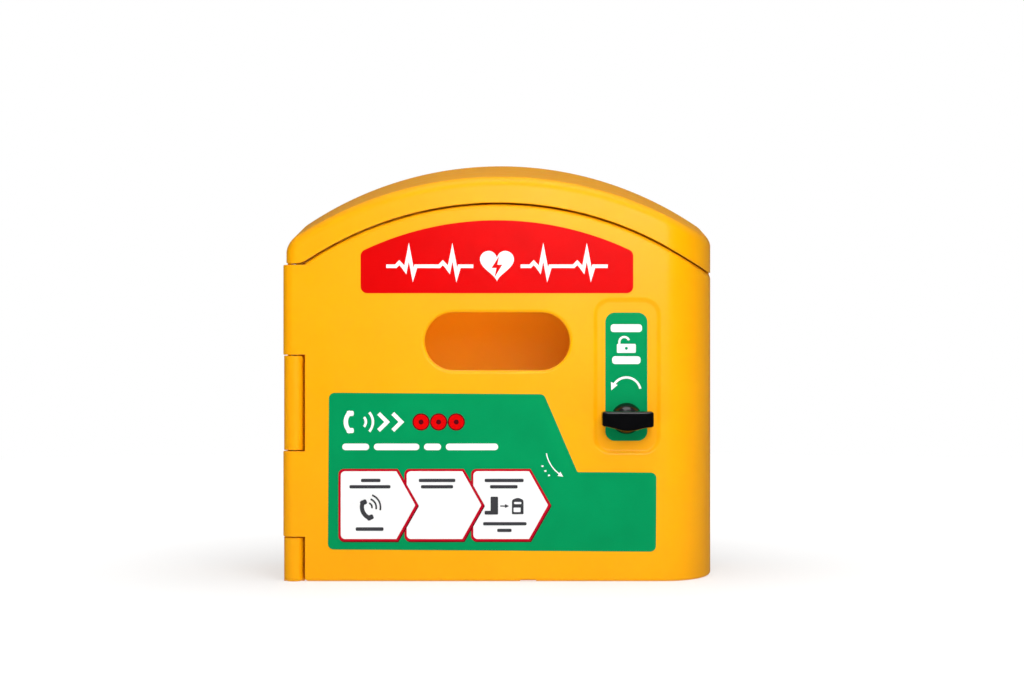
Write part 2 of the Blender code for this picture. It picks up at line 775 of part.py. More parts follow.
def title_outline():
    """The arched label: straight sides and base under a shallow arc."""
    centre = (TITLE_LEFT + TITLE_RIGHT) / 2
    half = (TITLE_RIGHT - TITLE_LEFT) / 2
    corner = 0.007
    shoulder = TITLE_TOP - arc_drop(half, 0, TITLE_R)
    arc = []
    steps = 16
    for step in range(1, steps):
        x = half * (1 - 2 * step / steps) * (1 - corner / half)
        arc.append((centre + x, TITLE_TOP - arc_drop(x, 0, TITLE_R), 0))
    return rounded(
        [(TITLE_LEFT, TITLE_LOW, corner), (TITLE_RIGHT, TITLE_LOW, corner), (TITLE_RIGHT, shoulder, corner)]
        + arc
        + [(TITLE_LEFT, shoulder, corner)]
    )


def tilted(corners, angle):
    centre = Vector((sum(c[0] for c in corners), sum(c[1] for c in corners))) / len(corners)
    turn = Matrix.Rotation(angle, 2)
    moved = [(centre + turn @ (Vector(c[:2]) - centre), c[2]) for c in corners]
    return [(point.x, point.y, radius) for point, radius in moved]


def build_labels():
    front = (-GAP - LABEL_THICK, -GAP)
    flat("title_label", title_outline(), *front, "red_label")
    flat("instruction_label", rounded(tilted(PANEL_CORNERS, PANEL_TILT)), *front, "green_label")
    low = RECESS_DEPTH - GAP - LABEL_THICK
    outline = rectangle(*LOCK_LABEL, 0.010)
    flat("lock_label", outline, low, low + LABEL_THICK, "green_label", [circle(LOCK_X, LOCK_Z, 0.0135)])


def build_lock():
    place = (LOCK_X, 0, LOCK_Z)
    washer, nut = lock_screw_stack()
    seat = -(RECESS_DEPTH - GAP)
    housing = [
        (LOCK_FLANGE_R, 0.0008),
        (LOCK_FLANGE_R, seat),
        (HOUSING_R, seat),
        (HOUSING_R, -HOUSING_END),
        (SPINDLE_R + GAP, -HOUSING_END),
        (SPINDLE_R + GAP, 0.0008),
    ]
    turned("lock_housing", housing, place, FRONTWARD, "zinc", closed=True)
    ring("lock_washer", 0.015, HOUSING_R + GAP, -washer[1], -washer[0], place, FRONTWARD, "steel")
    hexagon = circle(LOCK_X, LOCK_Z, 0.0145, 6)
    flat("lock_nut", hexagon, *nut, "zinc", [circle(LOCK_X, LOCK_Z, HOUSING_R + GAP)])


def build_knob():
    place = (LOCK_X, 0, LOCK_Z)
    dome = [(0, HUB_R)]
    for step in range(1, DOME_STEPS):
        angle = math.pi / 2 * step / DOME_STEPS
        dome.append((HUB_R * math.sin(angle), HUB_R * math.cos(angle)))
    dome += [(HUB_R, 0.0030), (HUB_R, 0.0012), (0, 0.0012)]
    knob = turned("turn_knob", dome, place, FRONTWARD, "black_plastic", segments=28)
    wing = box(
        "wing",
        (LOCK_X - WING_LENGTH / 2, -WING_PROUD, LOCK_Z - WING_HEIGHT / 2),
        (LOCK_X + WING_LENGTH / 2, -0.005, LOCK_Z + WING_HEIGHT / 2),
        bevel=0.003,
    )
    join(knob, wing)
    cut(knob, cylinder("knob_bore", SPINDLE_R + GAP, -0.002, 0.0093, place, FRONTWARD, segments=20))
    collar = HOUSING_END + GAP
    spindle = [
        (0, 0.009),
        (SPINDLE_R, 0.009),
        (SPINDLE_R, -collar),
        (0.007, -collar),
        (0.007, -CAM_DEPTH + GAP),
        (SPINDLE_R, -CAM_DEPTH + GAP),
        (SPINDLE_R, -CAM_DEPTH - CAM_THICK),
        (0.003, -CAM_DEPTH - CAM_THICK),
        (0.003, -CAM_DEPTH - 0.010),
        (0, -CAM_DEPTH - 0.010),
    ]
    turned("lock_spindle", spindle, place, FRONTWARD, "zinc", segments=20)
    half = CAM_WIDTH / 2
    outline = rectangle(LOCK_X - 0.011, LOCK_X + CAM_REACH, LOCK_Z - half, LOCK_Z + half, 0.005)
    cam_bore = circle(LOCK_X, LOCK_Z, SPINDLE_R + GAP, 20)
    flat("latch_cam", outline, CAM_DEPTH, CAM_DEPTH + CAM_THICK, "steel", [cam_bore])
    back = CAM_DEPTH + CAM_THICK + GAP
    ring("cam_washer", 0.008, 0.003 + GAP, -back - 0.001, -back, place, FRONTWARD, "steel", segments=16)
    hexagon = circle(LOCK_X, LOCK_Z, 0.0058, 6)
    flat("cam_nut", hexagon, back + 0.0013, back + 0.0053, "zinc", [circle(LOCK_X, LOCK_Z, 0.003 + GAP, 16)])


def build_striker():
    arm = STRIKER_ARM_X
    wall = STRIKER_WALL_X
    outline = [
        (wall, STRIKER_BACK),
        (wall, STRIKER_JOGGLE),
        (arm, STRIKER_JOGGLE),
        (arm, STRIKER_FRONT),
        (STRIKER_LIP_X, STRIKER_FRONT),
        (STRIKER_LIP_X, STRIKER_FRONT + SHEET),
        (arm - SHEET, STRIKER_FRONT + SHEET),
        (arm - SHEET, STRIKER_JOGGLE + SHEET),
        (wall - SHEET, STRIKER_JOGGLE + SHEET),
        (wall - SHEET, STRIKER_BACK),
    ]
    low = LOCK_Z - STRIKER_HEIGHT / 2
    bracket = flat("striker_bracket", outline, low, low + STRIKER_HEIGHT, "steel", turn=(0, 0, 0))
    for index, depth in enumerate(STRIKER_SCREW_DEPTHS, 1):
        place = (wall - SHEET, depth, LOCK_Z)
        hole = cylinder(f"striker_hole_{index}", PILOT_R, -0.004, 0.004, place, LEFTWARD, segments=10)
        cut(bracket, hole)
        screw(f"striker_screw_{index}", place, LEFTWARD, 0.0045)


def back_screws(kind, places):
    for index, (x, z) in enumerate(places, 1):
        screw(f"{kind}_screw_{index}", (x, BOSS_DEPTH - GAP - FLANGE, z), FRONTWARD, 0.009)


def screw_holes(target, kind, places):
    for index, (x, z) in enumerate(places, 1):
        name = f"{kind}_hole_{index}"
        cut(target, cylinder(name, PILOT_R, -0.004, 0.010, (x, BOSS_DEPTH - GAP, z), FRONTWARD, segments=8))
    return target


def build_shelf():
    """A bent tray whose upright flange is screwed to the back wall and whose front edge turns up."""
    left, right, low, high = SHELF
    back = BOSS_DEPTH - GAP
    profile = [
        (back, -high),
        (back - FLANGE, -high),
        (back - FLANGE, -low - FLANGE),
        (SHELF_FRONT + FLANGE, -low - FLANGE),
        (SHELF_FRONT + FLANGE, -low - SHELF_LIP),
        (SHELF_FRONT, -low - SHELF_LIP),
        (SHELF_FRONT, -low),
        (back, -low),
    ]
    shelf = flat("equipment_shelf", profile, left, right, "grey_plastic", turn=(0, 0, 0))
    shelf.data.transform(Matrix.Translation((0, -FRONT, 0)))
    shelf.data.transform(Matrix(((0, 0, 1, 0), (1, 0, 0, FRONT), (0, -1, 0, 0), (0, 0, 0, 1))))
    for index in range(4):
        centre = left + (right - left) * (index + 0.5) / 4
        slot_low = (centre - 0.020, 0.120, low - 0.01)
        slot_high = (centre + 0.020, 0.128, low + 0.01)
        cut(shelf, box(f"shelf_slot_{index}", slot_low, slot_high))
    screw_holes(shelf, "shelf", SHELF_SCREWS)
    back_screws("shelf", SHELF_SCREWS)


def build_heater():
    """A finned block on a plate whose two ends are its screw ears."""
    low, high = HEATER_Z
    back = BOSS_DEPTH - GAP
    half = HEATER_HALF + HEATER_FIN / 2
    heater = box("heater", (-HEATER_EAR, back - FLANGE, low), (HEATER_EAR, back, high), "aluminium")
    block_low = (-half, back - 2 * FLANGE, low + 0.0005)
    block_high = (half, back - FLANGE / 2, high - 0.0005)
    block = box("heater_block", block_low, block_high)
    fin_low = (-half, HEATER_FRONT, low + 0.001)
    fin_high = (-half + HEATER_FIN, back - FLANGE, high - 0.001)
    fin = box("heater_fin", fin_low, fin_high)
    fins = fin.modifiers.new("fins", "ARRAY")
    fins.count = HEATER_FINS
    fins.use_relative_offset = False
    fins.use_constant_offset = True
    fins.constant_offset_displace = (2 * HEATER_HALF / (HEATER_FINS - 1), 0, 0)
    join(heater, block, fin)
    screw_holes(heater, "heater", HEATER_SCREWS)
    back_screws("heater", HEATER_SCREWS)


def build_control_box():
    left, right, low, high = CONTROL
    back = BOSS_DEPTH - GAP
    split = CONTROL_FRONT + 0.004
    control = box("control_box", (left, split, low), (right, back, high), "grey_plastic", bevel=0.002)
    ear_low = (left + 0.015, back - FLANGE, low - CONTROL_EAR)
    ear_high = (right - 0.015, back - FLUSH, high + CONTROL_EAR)
    join(control, box("control_ears", ear_low, ear_high))
    screw_holes(control, "control", CONTROL_SCREWS)
    back_screws("control", CONTROL_SCREWS)
    box("control_lid", (left, CONTROL_FRONT, low), (right, split - GAP, high), "white_plastic", bevel=0.0012)


def build_light():
    left, right, low, high = LIGHT
    back = BOSS_DEPTH - GAP
    light = box("light_bar", (left, LIGHT_FRONT, low), (right, back, high), "white_plastic", bevel=0.002)
    ear_low = (left - LIGHT_EAR, back - FLANGE, low + 0.002)
    ear_high = (right + LIGHT_EAR, back - FLUSH, high - 0.002)
    join(light, box("light_ears", ear_low, ear_high))
    screw_holes(light, "light", LIGHT_SCREWS)
    back_screws("light", LIGHT_SCREWS)
    box(
        "light_diffuser",
        (left + 0.006, LIGHT_FRONT + 0.002, low - 0.005),
        (right - 0.006, back - 0.002, low - GAP),
        "clear_plastic",
        bevel=0.0018,
    )


def build_leads():
    control_left, control_right, _, control_top = CONTROL
    heater_side = -HEATER_HALF - 0.001 - GAP
    route = [
        (control_right + GAP, 0.180, 0.050),
        (control_right + 0.008, 0.180, 0.050),
        (control_right + 0.016, 0.180, 0.050),
        (control_right + 0.036, 0.177, 0.038),
        (heater_side - 0.016, 0.174, 0.034),
        (heater_side - 0.008, 0.174, 0.034),
        (heater_side, 0.174, 0.034),
    ]
    tube("heater_lead", smooth_route(route, 3), LEAD_R, "black_rubber")
    light_left = LIGHT[0]
    run = [
        (control_left + 0.009, 0.180, control_top + GAP),
        (control_left + 0.009, 0.180, control_top + 0.008),
        (control_left + 0.009, 0.180, control_top + 0.016),
        (LEAD_X, LEAD_DEPTH, control_top + 0.045),
        (LEAD_X, LEAD_DEPTH, CLIP_HEIGHTS[0]),
        (LEAD_X, LEAD_DEPTH, CLIP_HEIGHTS[1]),
        (LEAD_X + 0.003, LEAD_DEPTH, CLIP_HEIGHTS[1] + 0.030),
        (LEAD_X + 0.022, LEAD_DEPTH - 0.002, LIGHT[2] - 0.002),
        (light_left - 0.060, 0.188, LIGHT[2] + 0.006),
        (light_left - 0.016, 0.187, LIGHT[2] + 0.0085),
        (light_left - 0.008, 0.187, LIGHT[2] + 0.0085),
        (light_left - GAP, 0.187, LIGHT[2] + 0.0085),
    ]
    tube("light_lead", smooth_route(run, 3), LEAD_R, "black_rubber")
    for index, z in enumerate(CLIP_HEIGHTS, 1):
        outline = [
            (LEAD_X - 0.0045, 0.2057),
            (LEAD_X - 0.0045, LEAD_DEPTH - 0.0045),
            (LEAD_X + 0.0045, LEAD_DEPTH - 0.0045),
            (LEAD_X + 0.0045, 0.2057),
        ]
        hole = circle(LEAD_X, LEAD_DEPTH, LEAD_R + GAP, 16)
        flat(f"lead_clip_{index}", outline, z - 0.004, z + 0.004, "white_plastic", [hole], turn=(0, 0, 0))


def build_wall_closures():
    """Blind rubber pieces that close the back wall's holes until the cabinet is fitted."""
    inner = 0.206 - GAP
    outer = 0.210 - GAP
    for index, (x, z) in enumerate(plug_places(), 1):
        profile = [
            (0, -inner + 0.003),
            (0.0075, -inner + 0.003),
            (0.0085, -inner),
            (PLUG_R, -inner),
            (PLUG_R, -outer),
            (0, -outer),
        ]
        turned(f"wall_plug_{index}", profile, (x, 0, z), FRONTWARD, "black_rubber", segments=16)
    x, z = GROMMET
    profile = [
        (0, -inner + 0.002),
        (0.006, -inner + 0.004),
        (0.015, -inner + 0.003),
        (0.015, -inner),
        (GROMMET_R, -inner),
        (GROMMET_R, -outer),
        (0, -outer),
    ]
    turned("cable_grommet", profile, (x, 0, z), FRONTWARD, "black_rubber")


def add_pivot(name, place, parent=None):
    pivot = bpy.data.objects.new(name, None)
    bpy.context.scene.collection.objects.link(pivot)
    pivot.location = place
    if parent:
        pivot.parent = parent
        pivot.matrix_parent_inverse = Matrix.Translation(-parent.location)
    return pivot


def hang(pivot, names):
    """Parent the named pieces to a pivot without moving them."""
    place = Vector(pivot.location)
    for name in names:
        piece = bpy.data.objects[name]
        piece.parent = pivot
        piece.matrix_parent_inverse = Matrix.Translation(-place)


def main():
    start_scene()
    build_rear_casing()
    build_seal()
    build_hinge_pieces()
    build_door_shell()
    build_window()
    build_labels()
    build_lock()
    build_knob()
    build_striker()
    build_shelf()
    build_heater()
    build_control_box()
    build_light()
    build_leads()
    build_wall_closures()
    door_pivot = add_pivot("door_pivot", (HINGE_X, HINGE_Y, 0))
    knob_pivot = add_pivot("knob_pivot", (LOCK_X, FRONT, LOCK_Z), door_pivot)
    fixed_to_door = ["door_shell", "door_bush_lower", "door_bush_upper", "window_gasket", "window_lens"]
    fixed_to_door += ["window_retainer", "title_label", "instruction_label", "lock_label"]
    fixed_to_door += ["lock_housing", "lock_washer", "lock_nut"]
    fixed_to_door += [f"window_screw_{index}" for index in range(1, len(window_screw_places()) + 1)]
    hang(door_pivot, fixed_to_door)
    hang(knob_pivot, ["turn_knob", "lock_spindle", "latch_cam", "cam_washer", "cam_nut"])


main()
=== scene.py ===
"""Looks of the defibrillator cabinet. Metres, +Z up, and the door faces -Y. "Depth" means a distance behind
the door's front plane, FRONT."""

from math import atan2, cos, pi, radians, remainder, sin, sqrt, tan, tau

import bmesh
import bpy
from mathutils import Matrix, Vector


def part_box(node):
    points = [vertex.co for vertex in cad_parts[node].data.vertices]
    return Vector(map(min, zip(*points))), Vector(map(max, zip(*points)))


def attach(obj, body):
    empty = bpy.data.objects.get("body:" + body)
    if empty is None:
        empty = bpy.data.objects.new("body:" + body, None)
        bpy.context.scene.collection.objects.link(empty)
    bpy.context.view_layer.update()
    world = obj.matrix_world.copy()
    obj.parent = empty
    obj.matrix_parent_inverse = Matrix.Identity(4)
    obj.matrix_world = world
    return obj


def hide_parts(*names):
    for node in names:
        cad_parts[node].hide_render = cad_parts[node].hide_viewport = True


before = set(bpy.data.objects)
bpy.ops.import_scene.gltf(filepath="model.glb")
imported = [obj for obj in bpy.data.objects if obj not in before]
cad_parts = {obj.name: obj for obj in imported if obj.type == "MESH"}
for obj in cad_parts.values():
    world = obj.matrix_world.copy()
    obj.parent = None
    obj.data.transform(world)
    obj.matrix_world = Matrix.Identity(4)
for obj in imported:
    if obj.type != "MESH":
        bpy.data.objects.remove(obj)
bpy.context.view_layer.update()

# ---- dimensions of the CAD part

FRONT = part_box("door_shell")[0].y
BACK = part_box("rear_casing")[1].y
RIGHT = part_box("rear_casing")[1].x
LEFT = -0.2265
WALL = 0.004
GAP = 0.0003
LEFT_CORNER_R = 0.0115
REAR_CORNER_R = 0.008
SIDE_CORNER_X = 0.056
SIDE_CORNER_Y = 0.090
HOOD_TOP = 0.4279
HOOD_R = 0.400
HOOD_EDGE_R = 0.011
HOOD_REAR_R = 0.003
BASE_EDGE_R = 0.0025
SHEAR = 0.133

SEAM_TOP = 0.4006
SEAM_X = -0.0019
SEAM_R = 0.366
SEAM_GAP = 0.002
SEAM_FILLET = 0.0013
NOSE_Z = 0.336
NOSE_BLEND = 0.0026
EASE = 0.001
EASE_LENGTH = 0.020

PART_DEPTH = 0.025
PART_SLOPE = 0.1695
PART_GAP = 0.002
LAND = 0.003
MOUTH_LEFT = -0.194
MOUTH_RIGHT = 0.214
MOUTH_LOW = 0.0155
MOUTH_DROP = 0.019
SEAL_WIDTH = 0.006
SEAL_HEIGHT = 0.003
SEAL_MARGIN = 0.0012

HINGE_X = -0.21825
HINGE_DEPTH = 0.0115
HINGE_AXIS = (HINGE_X, HINGE_DEPTH, 0)
BARREL_R = 0.0115
KNUCKLE_R = 0.0107
LEAF_X = -0.2062
LEAF_FILLET = 0.0014
BORE_R = 0.0034
BUSH_R = 0.0052
BUSH_LENGTH = 0.014
BOTTOM_KNUCKLE = (0.0, 0.0465)
LOWER_BARREL = (0.0475, 0.138)
MIDDLE_KNUCKLE = (0.139, 0.239)
UPPER_BARREL = (0.240, 0.3352)
PIN_LOW = 0.009
PIN_HIGH = 0.349

DOOR_LOW = 0.0006
DOOR_EDGE_R = 0.0036
DOOR_TOP_R = 0.0044
DOOR_CORNER_R = 0.0048
ROOF_STEP = 0.001
ROOF_DRAFT = 0.04
DRAIN = (0.030, 0.017, 0.0028)

WINDOW_X = -0.0027
WINDOW_Z = 0.2542
WINDOW_WIDTH = 0.1532
WINDOW_HEIGHT = 0.0612
WINDOW_RIM = 0.0037
LENS_MARGIN = 0.007
RETAINER_MARGIN = 0.016
WINDOW_SCREW_MARGIN = 0.0115

TITLE = (-0.147, 0.141, 0.305, 0.382)
TITLE_R = 0.330
TITLE_CORNER_R = 0.007
PANEL_TILT = radians(-0.4)
PANEL_CORNERS = (
    (-0.181, 0.033, 0.006),
    (0.1655, 0.033, 0.006),
    (0.1655, 0.1165, 0.006),
    (0.082, 0.1165, 0.002),
    (0.046, 0.1985, 0.006),
    (-0.181, 0.1985, 0.006),
)
RECESS = (0.104, 0.165, 0.140, 0.295)
RECESS_DEPTH = 0.002
RECESS_SLOPE = 0.006
RECESS_CORNER_R = 0.013
LOCK_LABEL = (0.1116, 0.156, 0.149, 0.2846)
LOCK_X = 0.1338
LOCK_Z = 0.1728
LOCK_PLACE = (LOCK_X, 0, LOCK_Z)
LOCK_PAD = 0.002
LOCK_PAD_HALF = 0.028
HUB_R = 0.0165
WING_HALF = 0.027
WING_HIGH = 0.0082
WING_LOW = 0.0125
WING_END = 0.0075
HOUSING_R = 0.0095
HOUSING_END = 0.024
SPINDLE_R = 0.005
CAM_DEPTH = 0.041
CAM_THICK = 0.003

BOSS_R = 0.005
BOSS_DEPTH = 0.198
SCREW_R = 0.0016
PILOT_R = 0.0019
SCREW_HEAD_R = 0.0038
SCREW_HEAD = 0.0022
SCREW_LENGTH = 0.0085
SHELF_SCREWS = ((-0.080, 0.084), (-0.005, 0.084), (0.065, 0.084), (0.140, 0.084))
HEATER_SCREWS = ((-0.0655, 0.034), (0.0655, 0.034))
CONTROL_SCREWS = ((-0.165, 0.018), (-0.165, 0.112))
LIGHT_SCREWS = ((-0.0685, 0.3395), (0.0685, 0.3395))
STRIKER_SCREW_DEPTHS = (0.124, 0.140)
PLUG_PLACES = [(side * 0.180, z) for side in (-1, 1) for z in (0.131, 0.306)]
PLUG_R = 0.0045
GROMMET = (-0.150, 0.165)
GROMMET_R = 0.011

SLIVER = 0.000001
LABEL_THICK = 0.0004
INK = 0.00006
ROOM_DARK = 0.03
ROOM_TOP = 0.42
ROOM_BACK = 0.12
FRONTWARD = (pi / 2, 0, 0)
REARWARD = (-pi / 2, 0, 0)
LEFTWARD = (0, -pi / 2, 0)
BORE_TURN = (0, 0, 0.03)


# ---- materials


class Graph:
    """The node tree of a new material or of the world, with short calls that add nodes and feed them."""

    def __init__(self, name, world=None):
        self.material = world or bpy.data.materials.new(name)
        self.material.use_nodes = True
        self.nodes = self.material.node_tree.nodes
        self.links = self.material.node_tree.links
        self.coordinates = self.add("TexCoord").outputs
        self.place = self.coordinates["Object"]

    def feed(self, node, values):
        """Links each value that is a socket to the input of that name or number, and sets the others."""
        for name, value in values.items():
            if isinstance(value, bpy.types.NodeSocket):
                self.links.new(value, node.inputs[name])
            else:
                node.inputs[name].default_value = value

    def add(self, kind, values=None, **settings):
        node = self.nodes.new("ShaderNode" + kind)
        for name, value in settings.items():
            setattr(node, name, value)
        self.feed(node, values or {})
        return node

    def noise(self, scale, detail=2.0, stretch=None, roughness=0.5):
        place = self.place
        if stretch:
            place = self.add("Mapping", {"Vector": place, "Scale": stretch}).outputs["Vector"]
        values = {"Vector": place, "Scale": scale, "Detail": detail, "Roughness": roughness}
        return self.add("TexNoise", values).outputs["Fac"]

    def span(self, value, low, high, from_low=0.3, from_high=0.7, **settings):
        values = {"Value": value, "From Min": from_low, "From Max": from_high, "To Min": low, "To Max": high}
        return self.add("MapRange", values, **settings).outputs["Result"]

    def combine(self, operation, first, second):
        return self.add("Math", {0: first, 1: second}, operation=operation).outputs[0]

    def blend(self, share, first, second):
        """A colour between two, by a share from 0 to 1."""
        return self.add("Mix", {0: share, 6: first, 7: second}, data_type="RGBA").outputs[2]

    def mottle(self, scale, detail, first, second, reach=(0.3, 0.7)):
        """Soft patches of two colours."""
        return self.blend(self.span(self.noise(scale, detail), 0, 1, *reach), first, second)

    def bump(self, height, distance, strength=1.0, normal=None):
        values = {"Height": height, "Distance": distance, "Strength": strength}
        return self.add("Bump", values | ({"Normal": normal} if normal else {})).outputs["Normal"]

    def edges(self, radius):
        """A share that is 1 along convex and concave edges and 0 on open faces, and the rounded normal."""
        rounded_normal = self.add("Bevel", {"Radius": radius}, samples=4).outputs["Normal"]
        true_normal = self.add("NewGeometry").outputs["Normal"]
        dot = self.add("VectorMath", {0: rounded_normal, 1: true_normal}, operation="DOT_PRODUCT")
        return self.span(dot.outputs["Value"], 0.0, 1.0, 0.995, 0.90), rounded_normal

    def finish(self, **inputs):
        values = {name.replace("_", " "): value for name, value in inputs.items()}
        self.feed(self.nodes["Principled BSDF"], values)
        return self.material


def tone(colour, factor=1.0, lift=0.0):
    return (*[min(1.0, part * factor + lift) for part in colour], 1.0)


def moulded(name, colour, roughness=0.38, grain=0.00003, scuff=0.06, glow=0.0):
    """Moulded plastic with fine grain, flow marks and scuffed edges. glow is the light in its skin."""
    graph = Graph(name)
    scuffed, rounded_normal = graph.edges(0.0009)
    patches = graph.span(graph.noise(160, 3), 0.0, 1.0, 0.45, 0.62)
    wear = graph.combine("MULTIPLY", scuffed, patches)
    flow = graph.mottle(9, 3, tone(colour, 0.965), tone(colour, 1.03))
    speckled = graph.blend(graph.span(graph.noise(900, 2), 0.0, 0.35, 0.5, 0.8), flow, tone(colour, 0.90))
    worn = graph.blend(wear, speckled, tone(colour, 1.0, scuff))
    sink = graph.bump(graph.noise(11, 1), 0.0006, 0.30, rounded_normal)
    peel = graph.bump(graph.noise(420, 2), 0.00006, 0.35, sink)
    fine = graph.bump(graph.noise(2300, 2), grain, 0.55, peel)
    shine = graph.span(graph.noise(45, 3), roughness - 0.04, roughness + 0.05)
    return graph.finish(Base_Color=worn, Roughness=shine, Normal=fine, Specular_IOR_Level=0.15,
                        Subsurface_Weight=glow, Subsurface_Radius=(0.005, 0.0016, 0.0004),
                        Subsurface_Scale=1.0)


def vinyl(name, colour, roughness=0.30):
    """Printed vinyl under a satin laminate, with a faint orange peel and hairline rub marks."""
    graph = Graph(name)
    shade = graph.mottle(30, 2, tone(colour, 0.95), tone(colour, 1.04))
    dots = graph.blend(graph.span(graph.noise(1500, 1), 0.0, 0.30, 0.5, 0.8), shade, tone(colour, 0.86))
    rubs = graph.noise(260, 2, stretch=(1.0, 1.0, 9.0))
    peel = graph.bump(graph.noise(800, 2), 0.00002, 0.5)
    relief = graph.bump(rubs, 0.00002, 0.25, peel)
    shine = graph.span(rubs, roughness - 0.05, roughness + 0.07)
    return graph.finish(Base_Color=dots, Roughness=shine, Normal=relief, Specular_IOR_Level=0.03)


def gloss(name, colour):
    """Glossy black moulding with finger smudges and fine scratches."""
    graph = Graph(name)
    scuffed, rounded_normal = graph.edges(0.0007)
    smudge = graph.span(graph.noise(120, 4), 0.09, 0.16)
    scratches = graph.noise(500, 2, stretch=(0.15, 1.0, 1.0))
    worn = graph.blend(scuffed, tone(colour), tone(colour, 1.0, 0.03))
    waviness = graph.bump(graph.noise(60, 2), 0.0001, 0.25, rounded_normal)
    relief = graph.bump(scratches, 0.00001, 0.4, waviness)
    return graph.finish(Base_Color=worn, Roughness=smudge, Normal=relief, Specular_IOR_Level=0.32)


def rubber(name, colour):
    graph = Graph(name)
    dust = graph.blend(graph.span(graph.noise(70, 4), 0.0, 0.5), tone(colour), tone(colour, 1.0, 0.022))
    relief = graph.bump(graph.noise(1300, 3), 0.00005, 0.7)
    return graph.finish(Base_Color=dust, Roughness=graph.span(graph.noise(90, 2), 0.62, 0.8), Normal=relief)


def metal(name, colour, roughness=0.32, stretch=(1.0, 1.0, 18.0)):
    """Sheet or turned metal with fine brushing, soft stains and brighter worn edges."""
    graph = Graph(name)
    brushing = graph.noise(900, 2, stretch=stretch)
    scuffed, rounded_normal = graph.edges(0.0006)
    stained = graph.mottle(60, 3, tone(colour, 0.88), tone(colour, 1.05))
    worn = graph.blend(scuffed, stained, tone(colour, 1.25))
    shine = graph.span(brushing, roughness - 0.08, roughness + 0.10)
    relief = graph.bump(brushing, 0.00001, 0.6, rounded_normal)
    return graph.finish(Base_Color=worn, Roughness=shine, Normal=relief, Metallic=1.0)


def clear_sheet(name):
    """Thin clear polycarbonate: light passes straight through, and the surface mirrors by angle."""
    graph = Graph(name)
    haze = graph.span(graph.noise(140, 3, stretch=(1.0, 1.0, 3.0)), 0.02, 0.07)
    mirror = graph.add("BsdfGlossy", {"Roughness": haze, "Color": (1, 1, 1, 1)})
    through = graph.add("BsdfTransparent", {"Color": (0.965, 0.975, 0.975, 1)})
    angle = graph.add("Fresnel", {"IOR": 1.45})
    mix = graph.add("MixShader", {0: angle.outputs[0], 1: through.outputs[0], 2: mirror.outputs[0]})
    graph.feed(graph.nodes["Material Output"], {"Surface": mix.outputs[0]})
    graph.nodes.remove(graph.nodes["Principled BSDF"])
    return graph.material


def lit_diffuser(name):
    """Frosted light cover that glows faintly."""
    graph = Graph(name)
    frost = graph.bump(graph.noise(1800, 2), 0.00004, 0.5)
    glow = graph.mottle(25, 1, (1.0, 0.86, 0.62, 1), (1.0, 0.92, 0.74, 1))
    return graph.finish(Base_Color=(0.9, 0.9, 0.88, 1), Roughness=0.45, Normal=frost, Emission_Color=glow,
                        Emission_Strength=0.7)


def floor_paper(name):
    """Pale paper that glows more the farther it lies from the cabinet, so that it fades to white."""
    graph = Graph(name)
    fibre = graph.bump(graph.noise(300, 3), 0.0001, 0.15)
    shade = graph.blend(graph.noise(3, 1), (0.34, 0.34, 0.34, 1), (0.36, 0.36, 0.36, 1))
    reach = graph.add("VectorMath", {0: graph.place}, operation="LENGTH").outputs["Value"]
    glow = graph.span(reach, 0.60, 0.88, 0.25, 0.75)
    return graph.finish(Base_Color=shade, Roughness=0.6, Normal=fibre, Specular_IOR_Level=0.1,
                        Emission_Color=(1, 1, 1, 1), Emission_Strength=glow)


YELLOW = moulded("yellow_moulding", (0.93, 0.385, 0.0002), 0.35, glow=0.15)
RED = vinyl("red_vinyl", (0.64, 0.0010, 0.0015))
GREEN = vinyl("green_vinyl", (0.0008, 0.262, 0.086))
WHITE_INK = vinyl("white_ink", (0.86, 0.86, 0.86))
CRIMSON_INK = vinyl("crimson_ink", (0.45, 0.002, 0.014))
MAROON_INK = vinyl("maroon_ink", (0.09, 0.002, 0.006))
GREY_INK = vinyl("grey_ink", (0.045, 0.045, 0.05))
BLACK = gloss("black_gloss", (0.002, 0.002, 0.0025))
RUBBER = rubber("rubber", (0.012, 0.012, 0.013))
GREY = moulded("grey_moulding", (0.40, 0.41, 0.42), 0.45)
WHITE = moulded("white_moulding", (0.80, 0.80, 0.78), 0.42)
STEEL = metal("steel", (0.56, 0.57, 0.58))
ZINC = metal("zinc", (0.64, 0.64, 0.61), 0.30)
ALUMINIUM = metal("aluminium", (0.72, 0.73, 0.74), 0.36)
CLEAR = clear_sheet("clear_sheet")
DIFFUSER = lit_diffuser("lit_diffuser")
FLOOR = floor_paper("floor_paper")


# ---- mesh tools


def add_object(name, mesh):
    thing = bpy.data.objects.new(name, mesh)
    bpy.context.scene.collection.objects.link(thing)
    return thing


def from_bmesh(name, form):
    bmesh.ops.recalc_face_normals(form, faces=form.faces)
    mesh = bpy.data.meshes.new(name)
    form.to_mesh(mesh)
    form.free()
    return add_object(name, mesh)


def form_of(mesh):
    form = bmesh.new()
    form.from_mesh(mesh)
    return form


def evaluated(thing):
    """A new mesh of the object with its modifiers worked in."""
    view = bpy.context.evaluated_depsgraph_get()
    return bpy.data.meshes.new_from_object(thing.evaluated_get(view), depsgraph=view)


def solid_curve(name, curve):
    guide = add_object(name, curve)
    form = form_of(evaluated(guide))
    bpy.data.objects.remove(guide)
    bmesh.ops.remove_doubles(form, verts=form.verts, dist=SLIVER)
    return form


def round_edges(form, edges, radius, segments, **limits):
    bmesh.ops.bevel(form, geom=edges, offset=radius, segments=segments, affect="EDGES", profile=0.5, **limits)


def quarter(steps):
    """(1 - sine, 1 - cosine) of evenly spaced angles from 0 to 90 degrees."""
    angles = [pi / 2 * step / steps for step in range(steps + 1)]
    return [(1 - sin(angle), 1 - cos(angle)) for angle in angles]


